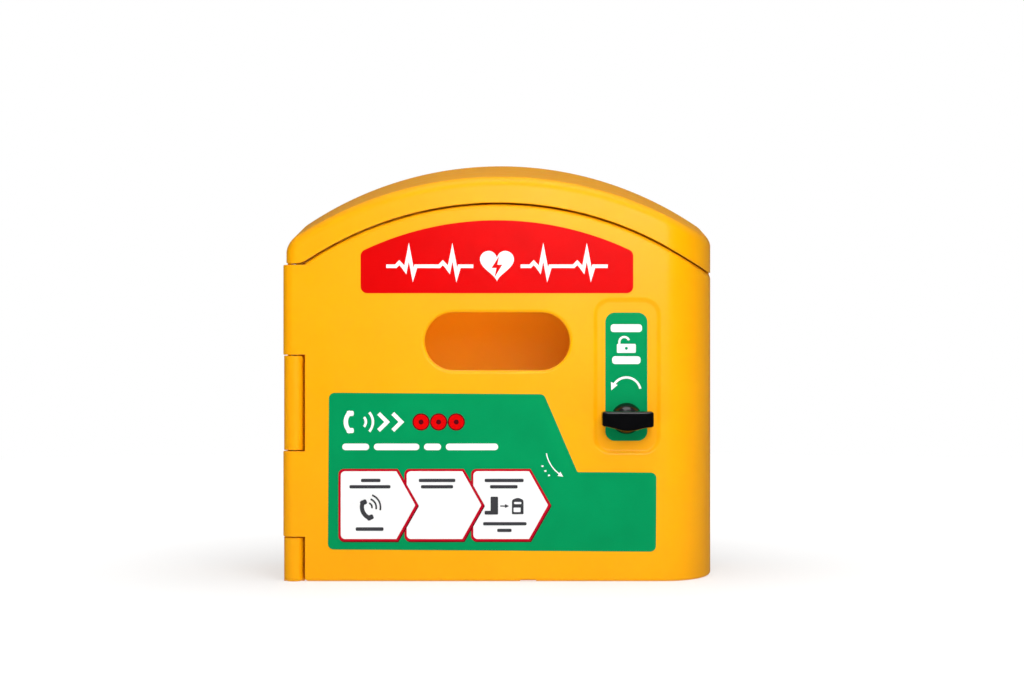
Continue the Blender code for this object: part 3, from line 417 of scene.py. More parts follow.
def baked(thing):
    """The object with its modifiers and place worked into its mesh."""
    bpy.context.view_layer.update()
    mesh = evaluated(thing)
    mesh.transform(thing.matrix_world)
    thing.modifiers.clear()
    thing.data = mesh
    thing.matrix_world = Matrix.Identity(4)
    return thing


def boolean(target, operation, tools):
    """Applies all tools at once, so that no rounding comes between them, and removes them."""
    group = bpy.data.collections.new("tools")
    for tool in tools:
        group.objects.link(tool)
    modifier = target.modifiers.new("boolean", "BOOLEAN")
    modifier.operation = operation
    modifier.operand_type = "COLLECTION"
    modifier.collection = group
    baked(target)
    for tool in tools:
        bpy.data.objects.remove(tool)
    bpy.data.collections.remove(group)
    return target


def cut(target, *tools):
    return boolean(target, "DIFFERENCE", tools)


def join(target, *tools):
    return boolean(target, "UNION", tools)


def smooth(thing):
    """Smooth shading with sharp edges kept, and normals weighted so that flat faces stay flat."""
    thing.data.shade_smooth()
    thing.data.set_sharp_from_angle(angle=radians(32))
    weighted = thing.modifiers.new("weighted normals", "WEIGHTED_NORMAL")
    weighted.keep_sharp = True
    weighted.weight = 80


def piece(thing, material, body, *nodes, inks=()):
    """Finishes a piece: its materials, shading and body, and the CAD nodes that it stands for."""
    form = form_of(thing.data)
    bmesh.ops.dissolve_degenerate(form, edges=form.edges, dist=SLIVER)
    form.to_mesh(thing.data)
    form.free()
    if not inks:
        thing.data.materials.clear()
    for finish in (material, *inks):
        thing.data.materials.append(finish)
    smooth(thing)
    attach(thing, body)
    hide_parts(*nodes)


def box(name, low, high, bevel=0.0, segments=3):
    """A box between two corners, given as (x, depth, z), with its edges rounded."""
    form = bmesh.new()
    bmesh.ops.create_cube(form, size=1.0)
    low = Vector((low[0], FRONT + low[1], low[2]))
    high = Vector((high[0], FRONT + high[1], high[2]))
    bmesh.ops.scale(form, vec=high - low, verts=form.verts)
    bmesh.ops.translate(form, vec=(low + high) / 2, verts=form.verts)
    if bevel:
        round_edges(form, form.edges, bevel, segments)
    return from_bmesh(name, form)


def put(thing, place, turn):
    thing.location = (place[0], FRONT + place[1], place[2])
    thing.rotation_euler = turn
    return thing


def cylinder(name, radius, low, high, place, turn=(0, 0, 0), segments=48):
    form = bmesh.new()
    lift = Matrix.Translation((0, 0, (low + high) / 2))
    bmesh.ops.create_cone(form, cap_ends=True, segments=segments, radius1=radius, radius2=radius,
                          depth=high - low, matrix=lift)
    return put(from_bmesh(name, form), place, turn)


def turned(name, profile, place, turn=(0, 0, 0), segments=64, closed=False):
    """A turned piece: (radius, height) points run down the outer side, then back up any bore."""
    mesh = bpy.data.meshes.new(name)
    edges = [(i, i + 1) for i in range(len(profile) - 1)]
    if closed:
        edges.append((len(profile) - 1, 0))
    mesh.from_pydata([(radius, 0, height) for radius, height in profile], edges, [])
    thing = add_object(name, mesh)
    screw = thing.modifiers.new("turn", "SCREW")
    screw.steps = segments
    screw.render_steps = segments
    screw.use_merge_vertices = True
    screw.merge_threshold = 0.00001
    return baked(put(thing, place, turn))


def rounded(corners, steps=8):
    """Outline points of a polygon whose (x, z, radius) corners are rounded by arcs."""
    points = []
    for index, (x, z, radius) in enumerate(corners):
        if not radius:
            points.append((x, z))
            continue
        here = Vector((x, z))
        before = (Vector(corners[index - 1][:2]) - here).normalized()
        after = (Vector(corners[(index + 1) % len(corners)][:2]) - here).normalized()
        half = before.angle(after) / 2
        centre = here + (before + after).normalized() * radius / sin(half)
        first = here + before * radius / tan(half) - centre
        last = here + after * radius / tan(half) - centre
        start = atan2(first.y, first.x)
        sweep = remainder(atan2(last.y, last.x) - start, tau)
        for step in range(steps + 1):
            angle = start + sweep * step / steps
            points.append((centre.x + radius * cos(angle), centre.y + radius * sin(angle)))
    return points


def rectangle(x_low, x_high, z_low, z_high, radius=0.0, steps=8):
    corners = [(x_low, z_low), (x_high, z_low), (x_high, z_high), (x_low, z_high)]
    return rounded([(x, z, radius) for x, z in corners], steps)


def circle(x, z, radius, segments=48):
    angles = [tau * step / segments for step in range(segments)]
    return [(x + radius * cos(angle), z + radius * sin(angle)) for angle in angles]


def stadium(margin):
    """The window's outline, grown by a margin."""
    half = WINDOW_WIDTH / 2 + margin
    high = WINDOW_HEIGHT / 2 + margin
    return rectangle(WINDOW_X - half, WINDOW_X + half, WINDOW_Z - high, WINDOW_Z + high, high * 0.999, 16)


def lock_recess(margin):
    x_low, x_high, z_low, z_high = RECESS
    radius = RECESS_CORNER_R + margin
    return rectangle(x_low - margin, x_high + margin, z_low - margin, z_high + margin, radius, 10)


def filled(name, outline, thickness, holes=()):
    """A flat outline with holes, filled and made solid, lying on the XY plane around Z = 0."""
    curve = bpy.data.curves.new(name, "CURVE")
    curve.dimensions = "2D"
    curve.fill_mode = "BOTH"
    curve.extrude = thickness / 2
    for loop in (outline, *holes):
        spline = curve.splines.new("POLY")
        spline.points.add(len(loop) - 1)
        for point, (u, v) in zip(spline.points, loop):
            point.co = (u, v, 0, 1)
        spline.use_cyclic_u = True
    form = solid_curve(name, curve)
    bmesh.ops.recalc_face_normals(form, faces=form.faces)
    return form


def sharp_edges(form, angle):
    return [edge for edge in form.edges if edge.is_manifold and edge.calc_face_angle(0) > radians(angle)]


def flat(name, outline, low, high, holes=(), bevel=0.0, plan=False):
    """A solid from (x, z) points between two depths, or with plan, (x, depth) points and two heights."""
    form = filled(name, outline, high - low, holes)
    if bevel:
        bmesh.ops.dissolve_limit(form, angle_limit=radians(0.5), verts=form.verts, edges=form.edges)
        round_edges(form, sharp_edges(form, 60), bevel, 2)
    middle = (low + high) / 2
    if plan:
        bmesh.ops.translate(form, vec=(0, FRONT, middle), verts=form.verts)
    else:
        bmesh.ops.rotate(form, matrix=Matrix.Rotation(pi / 2, 3, "X"), verts=form.verts)
        bmesh.ops.translate(form, vec=(0, FRONT + middle, 0), verts=form.verts)
    return from_bmesh(name, form)


def loft(name, rings, strips=False):
    """A closed loft through rings of the same length. Its ends are closed by one face, or by strips from
    side to side."""
    form = bmesh.new()
    rows = [[form.verts.new(point) for point in ring] for ring in rings]
    count = len(rows[0])
    for low, high in zip(rows, rows[1:]):
        for index in range(count):
            after = (index + 1) % count
            form.faces.new((low[index], low[after], high[after], high[index]))
    for row in (rows[0], rows[-1]):
        if strips:
            for index in range(count // 2 - 1):
                form.faces.new((row[index], row[index + 1], row[count - 2 - index], row[count - 1 - index]))
        else:
            form.faces.new(row)
    bmesh.ops.triangulate(form, faces=form.faces)
    return from_bmesh(name, form)


def sunk(name, outline, profile):
    """A cutter for the door's front: outline(margin) at each (margin, depth) of its profile."""
    rings = [[(x, FRONT + depth, z) for x, z in outline(margin)] for margin, depth in profile]
    return loft(name, rings)


def refined(node, material, body, name, bevel):
    """A copy of a CAD node with flat faces merged and its edges rounded."""
    form = form_of(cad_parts[node].data)
    bmesh.ops.remove_doubles(form, verts=form.verts, dist=0.000002)
    bmesh.ops.dissolve_limit(form, angle_limit=radians(1), verts=form.verts, edges=form.edges)
    round_edges(form, sharp_edges(form, 35), bevel, 3, clamp_overlap=True)
    piece(from_bmesh(name, form), material, body, node)


# ---- the cabinet's outer form


def arc_drop(x, centre, radius):
    return radius - sqrt(radius**2 - (x - centre) ** 2)


def hood_z(x, y):
    """Height of the hood's arched top, which rises to the rear."""
    return HOOD_TOP - arc_drop(x, 0, HOOD_R) + SHEAR * (y - FRONT)


def seam_arc(x):
    """Height of the hood's lower edge, an arc that runs softly into the nose's flat underside."""
    arc = SEAM_TOP - arc_drop(x, SEAM_X, SEAM_R)
    if x > 0:
        return arc
    above = arc - NOSE_Z
    return NOSE_Z + (above + sqrt(above**2 + NOSE_BLEND**2)) / 2


def seam_z(x, y):
    return seam_arc(x) + SHEAR * (y - FRONT)


def seam_cut_z(x, y):
    """The seam with the hood's lower front edge rounded."""
    depth = min(max(y - FRONT, 0.0), SEAM_FILLET)
    return seam_z(x, y) + SEAM_FILLET - sqrt(SEAM_FILLET**2 - (SEAM_FILLET - depth) ** 2)


def door_clearance(x):
    nearness = min(1.0, max(0.0, 1 - (x - LEAF_X) / EASE_LENGTH))
    return SEAM_GAP + EASE * nearness**2


def door_z(x, y):
    return seam_z(x, y) - door_clearance(x)


def roof_z(x, y):
    return seam_arc(x) - door_clearance(x) - ROOF_STEP - ROOF_DRAFT * (y - FRONT)


def part_y(x):
    """The slanted parting plane between door and casing."""
    return FRONT + PART_DEPTH + PART_SLOPE * (x - HINGE_X)


def slanted(offset):
    return lambda x: part_y(x) + offset


def fixed(value):
    return lambda *_: value


def below(surface):
    """A surface one wall's thickness lower."""
    return lambda x, y: surface(x, y) - WALL


def rear_point(x):
    side = -1 if x < 0 else 1
    inner = (LEFT if side < 0 else RIGHT) - side * REAR_CORNER_R
    sine = min(1.0, max(0.0, (x - inner) * side / REAR_CORNER_R))
    cosine = sqrt(1 - sine**2)
    return (x, BACK - REAR_CORNER_R * (1 - cosine)), (side * sine, cosine)


def plan_stations():
    """Front and rear points of the plan outline with their outward normals, from left to right."""
    left_steps, flat_steps, right_steps = 10, 60, 40
    fronts = []
    for step in range(left_steps + 1):
        angle = pi * (1 + step / left_steps / 2)
        normal = (cos(angle), sin(angle))
        point = [start + LEFT_CORNER_R + LEFT_CORNER_R * part for start, part in zip((LEFT, FRONT), normal)]
        fronts.append((tuple(point), normal))
    start = LEFT + LEFT_CORNER_R
    width = RIGHT - SIDE_CORNER_X - start
    for step in range(1, flat_steps):
        fronts.append(((start + width * step / flat_steps, FRONT), (0.0, -1.0)))
    for step in (*range(right_steps - 1), right_steps):
        angle = -pi / 2 * (1 - step / right_steps)
        point = (RIGHT - SIDE_CORNER_X * (1 - cos(angle)), FRONT + SIDE_CORNER_Y * (1 + sin(angle)))
        normal = Vector((cos(angle) / SIDE_CORNER_X, sin(angle) / SIDE_CORNER_Y)).normalized()
        fronts.append((point, tuple(normal)))
    return [(*front, *rear_point(front[0][0])) for front in fronts]


def plan_block(name, inset, bottom, top, top_edge=0.0, bottom_edge=0.0):
    """The inset plan outline raised from one surface to another. An edge's radius may be (front, rear)."""
    stations = plan_stations()
    loop = [(point, normal) for point, normal, _, _ in stations]
    loop += [(point, normal) for _, _, point, normal in reversed(stations)]

    def ring_at(edge, inward, surface, lift):
        front, rear = edge if isinstance(edge, tuple) else (edge, edge)
        points = []
        for (x, y), (nx, ny) in loop:
            radius = front + (rear - front) * (y - FRONT) / (BACK - FRONT)
            px = x - nx * (inset + radius * inward)
            py = y - ny * (inset + radius * inward)
            points.append((px, py, surface(px, py) + radius * lift))
        return points

    arc = quarter(7)
    rings = [ring_at(bottom_edge, a, bottom, b) for a, b in (arc if bottom_edge else arc[:1])]
    rings += [ring_at(top_edge, b, top, -a) for a, b in (arc if top_edge else arc[:1])]
    return loft(name, rings, strips=True)


def arched_block(name, x_low, x_high, bottom, top, depth_lines, columns):
    """A block with an arched top, and a row of points on each depth line."""
    rings = []
    for step in range(columns + 1):
        x = x_low + (x_high - x_low) * step / columns
        ys = [line(x) for line in depth_lines]
        rings.append([(x, ys[0], bottom)] + [(x, y, top(x, y)) for y in ys] + [(x, ys[-1], bottom)])
    return loft(name, rings)


# ---- casing


def knuckle(name, span, low_edge):
    """A round hinge knuckle with rounded rims, and the web that carries it."""
    low, high = span
    rim = 0.001
    profile = [(0, high)]
    profile += [(KNUCKLE_R - rim * a, high - rim * b) for a, b in quarter(5)]
    profile += [(KNUCKLE_R - low_edge * b, low + low_edge * a) for a, b in quarter(8)]
    barrel = turned(name, [*profile, (0, low)], HINGE_AXIS, segments=72)
    web = ((HINGE_X - KNUCKLE_R, HINGE_DEPTH, low), (HINGE_X + KNUCKLE_R, PART_DEPTH + LAND, high))
    return barrel, box(name + "_web", *web)


def mouth_block(name, grow, front, back):
    """A block through the casing's mouth, grown by a margin, between two offsets from the parting."""
    return arched_block(name, MOUTH_LEFT - grow, MOUTH_RIGHT + grow, MOUTH_LOW - grow,
                        lambda x, y: seam_arc(x) - MOUTH_DROP + grow, [slanted(front), slanted(back)], 80)


def build_casing():
    casing = plan_block("casing_moulding", 0.0, fixed(0.0), hood_z, (HOOD_EDGE_R, HOOD_REAR_R), BASE_EDGE_R)
    fillet = [fixed(FRONT - 0.03)]
    fillet += [fixed(FRONT + SEAM_FILLET * (1 - cos(radians(angle)))) for angle in (0, 20, 40, 60, 90)]
    fillet.append(fixed(FRONT + 0.15))
    door_zone = arched_block("door_zone", -0.25, 0.25, -0.05, seam_cut_z, fillet, 150)
    parting = [slanted(0.0), fixed(0.30)]
    cut(door_zone, arched_block("behind_parting", -0.30, 0.30, -0.10, fixed(0.6), parting, 1))
    inner_edge = (HOOD_EDGE_R - WALL, 0.002)
    hollow = plan_block("casing_hollow", WALL, fixed(WALL), below(hood_z), inner_edge, 0.003)
    land = arched_block("land", -0.30, 0.30, -0.02, fixed(0.6), [slanted(-0.001), slanted(LAND)], 1)
    nose = box("nose", (-0.30, -0.02, 0.30), (MOUTH_LEFT, 0.05, 0.50))
    cut(hollow, land, nose)
    cut(casing, hollow, door_zone, mouth_block("mouth", 0, -0.012, 0.010))
    holes = [
        cylinder("pin_bore", BORE_R, -0.01, PIN_HIGH + GAP, HINGE_AXIS, BORE_TURN),
        cylinder("plug_bore", BUSH_R, -0.01, PIN_LOW - GAP, HINGE_AXIS, BORE_TURN),
        flat("back_panel", rectangle(-0.165, 0.165, 0.060, 0.345, 0.030), 0.2092, 0.2200),
    ]
    for radius, places in ((PLUG_R, PLUG_PLACES), (GROMMET_R, [GROMMET])):
        holes += [cylinder("wall_hole", radius + GAP, -0.22, -0.20, (x, 0, z), FRONTWARD) for x, z in places]
    added = [*knuckle("middle_knuckle", MIDDLE_KNUCKLE, 0.001)]
    added += knuckle("bottom_knuckle", BOTTOM_KNUCKLE, 0.004)
    for x, z in (*SHELF_SCREWS, *HEATER_SCREWS, *CONTROL_SCREWS, *LIGHT_SCREWS):
        place = (x, BOSS_DEPTH, z)
        added.append(cylinder("boss", BOSS_R, -0.009, 0, place, FRONTWARD, segments=32))
        holes.append(cylinder("pilot", PILOT_R, -0.008, 0.002, place, FRONTWARD, segments=24))
    for depth in STRIKER_SCREW_DEPTHS:
        place = (RIGHT - WALL, depth, LOCK_Z)
        holes.append(cylinder("striker_pilot", PILOT_R, -0.003, 0.003, place, LEFTWARD))
    join(casing, *added)
    cut(casing, *holes)
    piece(casing, YELLOW, "casing", "rear_casing")


def build_seal():
    """A rubber loop on the casing's land, just outside the mouth."""
    seal = mouth_block("seal_loop", SEAL_WIDTH + SEAL_MARGIN, -GAP - SEAL_HEIGHT, -GAP)
    cut(seal, mouth_block("seal_opening", SEAL_MARGIN, -0.02, 0.02))
    ridge = seal.modifiers.new("rounded ridge", "BEVEL")
    ridge.width = 0.0012
    ridge.segments = 3
    ridge.angle_limit = radians(50)
    piece(baked(seal), RUBBER, "casing", "door_seal")


def build_back_closures():
    """Blind rubber pieces in the back wall: four screw-hole plugs and the cable grommet. Their profiles are
    (radius, height) points on the wall's inside, then on its outside."""
    inner = 0.206 - GAP
    outer = 0.210 - GAP
    plug = ([(0, 0.003), (0.0068, 0.003), (0.0078, 0.0024), (0.0085, 0), (PLUG_R, 0)],
            [(PLUG_R, 0.0006), (PLUG_R - 0.0006, 0), (0.0022, 0), (0.0018, 0.0008), (0, 0.0008)])
    grommet = ([(0, 0.002), (0.004, 0.0022), (0.006, 0.004), (0.0142, 0.0036), (0.015, 0.0028),
                (0.015, 0), (GROMMET_R, 0)],
               [(GROMMET_R, 0.0008), (GROMMET_R - 0.0008, 0), (0.0075, 0), (0.0070, 0.0010),
                (0.0045, 0.0010), (0.0040, 0), (0, 0)])
    rows = [(f"wall_plug_moulding_{index}", plug, place, f"wall_plug_{index}")
            for index, place in enumerate(PLUG_PLACES, 1)]
    rows.append(("grommet_moulding", grommet, GROMMET, "cable_grommet"))
    for name, (inside, outside), (x, z), node in rows:
        profile = [(radius, -inner + height) for radius, height in inside]
        profile += [(radius, -outer + height) for radius, height in outside]
        piece(turned(name, profile, (x, 0, z), FRONTWARD), RUBBER, "casing", node)


# ---- door


def hinge_barrel(name, span):
    """A door barrel and the flush neck that joins it to the leaf, with rounded ends."""
    outline = [(LEAF_X + 0.003, 0.0), (LEAF_X + 0.003, HINGE_DEPTH), (HINGE_X + 0.004, HINGE_DEPTH + 0.004)]
    for step in range(37):
        angle = radians(45 + 225 * step / 36)
        outline.append((HINGE_X + BARREL_R * cos(angle), HINGE_DEPTH + BARREL_R * sin(angle)))
    return flat(name, outline, *span, bevel=0.0009, plan=True)


def leaf_trimmer():
    """Cuts the leaf's left edge beside the knuckles and rounds its front corner."""
    outline = [(-0.30, 0.30), (-0.30, -0.05), (LEAF_X + LEAF_FILLET, -0.05)]
    outline += [(LEAF_X + LEAF_FILLET * a, LEAF_FILLET * b) for a, b in quarter(6)]
    return flat("beside_leaf", [*outline, (LEAF_X, 0.30)], -0.05, 0.60, plan=True)


def corner_trimmer():
    """Rounds the leaf's lower left corner."""
    left = LEAF_X - 0.01
    low = DOOR_LOW - 0.01
    outline = [(left, DOOR_LOW + DOOR_CORNER_R), (left, low), (LEAF_X + DOOR_CORNER_R, low)]
    outline += [(LEAF_X + DOOR_CORNER_R * a, DOOR_LOW + DOOR_CORNER_R * b) for a, b in quarter(8)]
    return flat("below_corner", outline, -0.01, 0.30)


def window_screw_places():
    reach = WINDOW_HEIGHT / 2 + WINDOW_SCREW_MARGIN
    columns = [WINDOW_X + column * WINDOW_WIDTH * 0.28 for column in (-1, 0, 1)]
    return [(x, WINDOW_Z + side * reach) for side in (-1, 1) for x in columns]


def door_ribs():
    """Low ribs on the inside of the leaf, clear of the window frame and the lock."""
    half = 0.001
    spans = [((-0.198, WALL - 0.0005, z - half), (0.085, WALL + 0.005, z + half), 0.0006)
             for z in (0.050, 0.100, 0.150)]
    spans += [((x - half, WALL - 0.0007, 0.006), (x + half, WALL + 0.0054, 0.185), 0.0005)
              for x in (-0.150, -0.090, -0.030, 0.030)]
    return [box("rib", low, high, bevel, 2) for low, high, bevel in spans]


def build_door():
    door = plan_block("door_moulding", 0.0, fixed(DOOR_LOW), door_z, DOOR_TOP_R, DOOR_EDGE_R)
    behind = arched_block("behind_door", -0.30, 0.30, -0.05, fixed(0.6), [slanted(-PART_GAP), fixed(0.30)], 1)
    above = plan_block("above_roof", WALL, roof_z, fixed(0.6))
    hollow = plan_block("door_hollow", WALL, fixed(DOOR_LOW + WALL), below(roof_z), 0.002, 0.002)
    cut(door, behind, leaf_trimmer(), above, hollow, corner_trimmer())
    soft_edge = [(RECESS_SLOPE, -0.004)]
    for step in range(13):
        share = step / 12
        soft_edge.append((RECESS_SLOPE * (1 - share), RECESS_DEPTH * (1 - cos(pi * share)) / 2 + 0.00001))
    rim = [(WINDOW_RIM, -0.004)]
    rim += [(WINDOW_RIM * a, WINDOW_RIM * b + 0.00001) for a, b in quarter(6)]
    rim.append((0, 0.02))
    pad_low = (LOCK_X - LOCK_PAD_HALF, WALL - 0.0005, LOCK_Z - LOCK_PAD_HALF)
    pad_high = (LOCK_X + LOCK_PAD_HALF, WALL + LOCK_PAD, LOCK_Z + LOCK_PAD_HALF)
    lens_back = depths("window_retainer")[0]
    added = [*door_ribs(), hinge_barrel("lower_barrel", LOWER_BARREL),
             hinge_barrel("upper_barrel", UPPER_BARREL), box("lock_pad", pad_low, pad_high)]
    holes = [
        cylinder("door_pin_bore", BORE_R, -0.01, 0.40, HINGE_AXIS, BORE_TURN),
        sunk("lock_recess", lock_recess, soft_edge),
        sunk("window_rim", stadium, rim),
        cylinder("lock_hole", HOUSING_R + GAP, -0.02, 0.01, LOCK_PLACE, FRONTWARD),
    ]
    for low, _ in (LOWER_BARREL, UPPER_BARREL):
        high = low + BUSH_LENGTH + 2 * GAP
        holes.append(cylinder("bush_bore", BUSH_R + GAP, low - 0.0005, high, HINGE_AXIS, BORE_TURN))
    boss = (BOSS_R - 0.001, -lens_back + GAP, -WALL + 0.0005)
    for x, z in window_screw_places():
        place = (x, 0, z)
        added.append(cylinder("window_boss", *boss, place, FRONTWARD, 32))
        holes.append(cylinder("window_pilot", PILOT_R, -0.015, -WALL + 0.001, place, FRONTWARD, 24))
    x, width, height = DRAIN
    holes.append(box("drain_notch", (x - width / 2, -0.01, -0.01), (x + width / 2, 0.012, height), 0.0008))
    join(door, *added)
    cut(door, *holes)
    piece(door, YELLOW, "door", "door_shell")


def depths(node):
    return [corner.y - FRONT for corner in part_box(node)]


def build_window():
    frame_holes = [stadium(0.001)] + [circle(x, z, PILOT_R + GAP, 24) for x, z in window_screw_places()]
    for name, node, margin, holes, bevel, material in (
        ("window_pane", "window_lens", LENS_MARGIN, (), 0.0005, CLEAR),
        ("gasket_loop", "window_gasket", LENS_MARGIN, [stadium(0.0015)], 0.0003, RUBBER),
        ("window_frame", "window_retainer", RETAINER_MARGIN, frame_holes, 0.0006, GREY),
    ):
        piece(flat(name, stadium(margin), *depths(node), holes, bevel), material, "door", node)


# ---- printed labels


def bar(x_low, x_high, z_low, z_high, radius=0.0007):
    return rectangle(x_low, x_high, z_low, z_high, radius, 4)


def band(x, z, radius, width, start, end):
    """A curved band round a centre, between two angles in degrees."""
    steps = 24
    angles = [radians(start + (end - start) * step / steps) for step in range(steps + 1)]
    outer, inner = ([(x + reach * cos(a), z + reach * sin(a)) for a in angles]
                    for reach in (radius + width / 2, radius - width / 2))
    return outer + inner[::-1]


def head(x, z, size, direction):
    """A triangular arrow head with its tip ahead of a point, facing a direction in degrees."""
    points = []
    for angle, reach in ((0, 1.0), (125, 0.9), (235, 0.9)):
        turn = radians(direction + angle)
        points.append((x + size * reach * cos(turn), z + size * reach * sin(turn)))
    return points


def stroke(points, width):
    """A polyline of one width, with mitred bends."""
    line = [Vector(point) for point in points]
    normals = []
    for start, end in zip(line, line[1:]):
        along = (end - start).normalized()
        normals.append(Vector((-along.y, along.x)))
    offsets = [normals[0]]
    for before, after in zip(normals, normals[1:]):
        middle = (before + after).normalized()
        offsets.append(middle / middle.dot(before))
    offsets.append(normals[-1])
    sides = [[point + side * width / 2 * offset for point, offset in zip(line, offsets)] for side in (1, -1)]
    return [tuple(point) for point in sides[0] + sides[1][::-1]]


def heart(x, z, size):
    steps = 72
    points = []
    for step in range(steps):
        t = tau * step / steps
        rise = 13 * cos(t) - 5 * cos(2 * t) - 2 * cos(3 * t) - cos(4 * t)
        points.append((x + size * sin(t) ** 3 / 2, z + size * (rise + 2.5) / 32))
    return points


def bolt(x, z, size):
    shape = ((0.10, 0.50), (-0.26, -0.06), (-0.02, -0.06), (-0.12, -0.52), (0.26, 0.10), (0.02, 0.10))
    return [(x + size * u, z + size * v) for u, v in shape]


def turned_by(outline, x, z, degrees):
    turn = Matrix.Rotation(radians(degrees), 2)
    return [tuple(Vector((x, z)) + turn @ (Vector(point) - Vector((x, z)))) for point in outline]


def handset(x, z, size, tilt=0):
    """A telephone receiver: a curved grip between two rounded ends."""
    grip = band(x + size * 0.34, z, size * 0.56, size * 0.20, 128, 232)
    top = rectangle(x - size * 0.18, x + size * 0.14, z + size * 0.27, z + size * 0.50, size * 0.07, 4)
    base = rectangle(x - size * 0.18, x + size * 0.14, z - size * 0.50, z - size * 0.27, size * 0.07, 4)
    return [turned_by(outline, x, z, tilt) for outline in (grip, top, base)]


def waves(x, z, size, width, direction=0, count=3):
    return [band(x, z, size * (n + 1) / count, width, direction - 42, direction + 42) for n in range(count)]


def panel_card(left, low, high, right, tip, radius=0.0045):
    """A card with rounded corners on the left and an arrow point on the right."""
    middle = (low + high) / 2
    return rounded([(left, low, radius), (right, low, 0.001), (tip, middle, 0.002), (right, high, 0.001),
                    (left, high, radius)], 6)


def grown_card(left, low, high, right, tip, grow):
    return panel_card(left - grow, low - grow, high + grow, right + grow * 0.6, tip + grow * 1.3, 0.0055)


def label(name, outline, marks, face, material, body, node, holes=()):
    """A vinyl label with printed marks: face is its front's depth, a mark (outline, ink, layer, holes)."""
    form = bmesh.new()
    inks = [material]
    sheets = [(flat(name, outline, face, face + LABEL_THICK, holes, bevel=0.00012), 0)]
    for shape, ink, layer, gaps in marks:
        if ink not in inks:
            inks.append(ink)
        sheets.append((flat("mark", shape, face - INK * (layer + 1), face + INK / 2, gaps), inks.index(ink)))
    for sheet, index in sheets:
        first = len(form.faces)
        form.from_mesh(sheet.data)
        form.faces.ensure_lookup_table()
        for face_index in range(first, len(form.faces)):
            form.faces[face_index].material_index = index
        bpy.data.objects.remove(sheet)
    mesh = bpy.data.meshes.new(name)
    form.to_mesh(mesh)
    form.free()
    piece(add_object(name, mesh), material, body, node, inks=inks[1:])


def ink_marks(outlines, ink, layer=0):
    """Marks of one ink. Each lies a little higher than the one before, so that none share a plane."""
    return [(outline, ink, layer + 0.1 * index, ()) for index, outline in enumerate(outlines)]


def title_outline():
    """Straight sides and base under a shallow arc."""
    left, right, low, top = TITLE
    centre = (left + right) / 2
    half = (right - left) / 2
    shoulder = top - arc_drop(half, 0, TITLE_R)
    steps = 40
    arc = []
    for step in range(1, steps):
        x = half * (1 - 2 * step / steps) * (1 - TITLE_CORNER_R / half)
        arc.append((centre + x, top - arc_drop(x, 0, TITLE_R), 0))
    corners = [(x, z, TITLE_CORNER_R) for x, z in ((left, low), (right, low), (right, shoulder))]
    return rounded([*corners, *arc, (left, shoulder, TITLE_CORNER_R)])


def pulse(x_low, x_high, z, height, beats):
    """A heartbeat trace with a number of beats between two ends."""
    points = [(x_low, z)]
    pitch = (x_high - x_low) / beats
    beat = ((0.22, 0.0), (0.30, 0.16), (0.38, 0.0), (0.44, -0.16), (0.52, 0.62), (0.62, -0.38), (0.68, 0.0),
            (0.78, 0.0))
    for index in range(beats):
        start = x_low + pitch * index
        points += [(start + pitch * u, z + height * v) for u, v in beat]
    points.append((x_high, z))
    return points


def build_title_label():
    """Red arched label with a heart, a bolt and a heartbeat trace in place of lettering."""
    middle = (TITLE[0] + TITLE[1]) / 2
    z = 0.3335
    marks = ink_marks([heart(middle, z, 0.036)], WHITE_INK)
    marks += ink_marks([bolt(middle, z - 0.0005, 0.022)], RED, 1)
    for start, end in ((-0.117, -0.025), (0.025, 0.117)):
        marks += ink_marks([stroke(pulse(middle + start, middle + end, z, 0.024, 2), 0.0038)], WHITE_INK)
    label("title_print", title_outline(), marks, -LABEL_THICK, RED, "door", "title_label")


def card_icons():
    """What the three cards show: a ringing telephone, bars alone, and a handle that opens a cabinet."""
    first = (0.1055, 0.1090)
    second = (0.0988, 0.1023)
    rows = ((-0.1466, -0.1260, *first), (-0.1588, -0.1154, *second), (-0.1522, -0.1228, 0.0540, 0.0578),
            (-0.0856, -0.0469, *first), (-0.0833, -0.0493, *second),
            (-0.0160, 0.0252, *first), (-0.0104, 0.0188, *second), (-0.0176, 0.0283, 0.0598, 0.0632),
            (-0.0028, 0.0125, 0.0528, 0.0562))
    grey = [bar(*edges, 0.0012) for edges in rows]
    grey += handset(-0.1400, 0.0762, 0.0225, 24)
    grey += waves(-0.1395, 0.0790, 0.0135, 0.0018, 28)
    grey.append(rounded([(-0.0160, 0.0712, 0.001), (-0.0018, 0.0712, 0.001), (-0.0018, 0.0901, 0.001),
                         (-0.0097, 0.0901, 0.001), (-0.0097, 0.0752, 0), (-0.0160, 0.0752, 0.001)], 3))
    grey.append(bar(0.0004, 0.0062, 0.0796, 0.0808, 0.0003))
    grey.append(head(0.0070, 0.0802, 0.0028, 0))
    marks = ink_marks(grey, GREY_INK, 7)
    cabinet = rounded([(0.0128, 0.0716, 0.0008), (0.0251, 0.0716, 0.0008), (0.0251, 0.0868, 0.003),
                       (0.0190, 0.0892, 0.006), (0.0128, 0.0868, 0.003)], 4)
    openings = [bar(0.0150, 0.0229, 0.0822, 0.0846, 0.0011), bar(0.0146, 0.0220, 0.0738, 0.0786, 0.0006)]
    marks.append((cabinet, GREY_INK, 7, openings))
    return marks


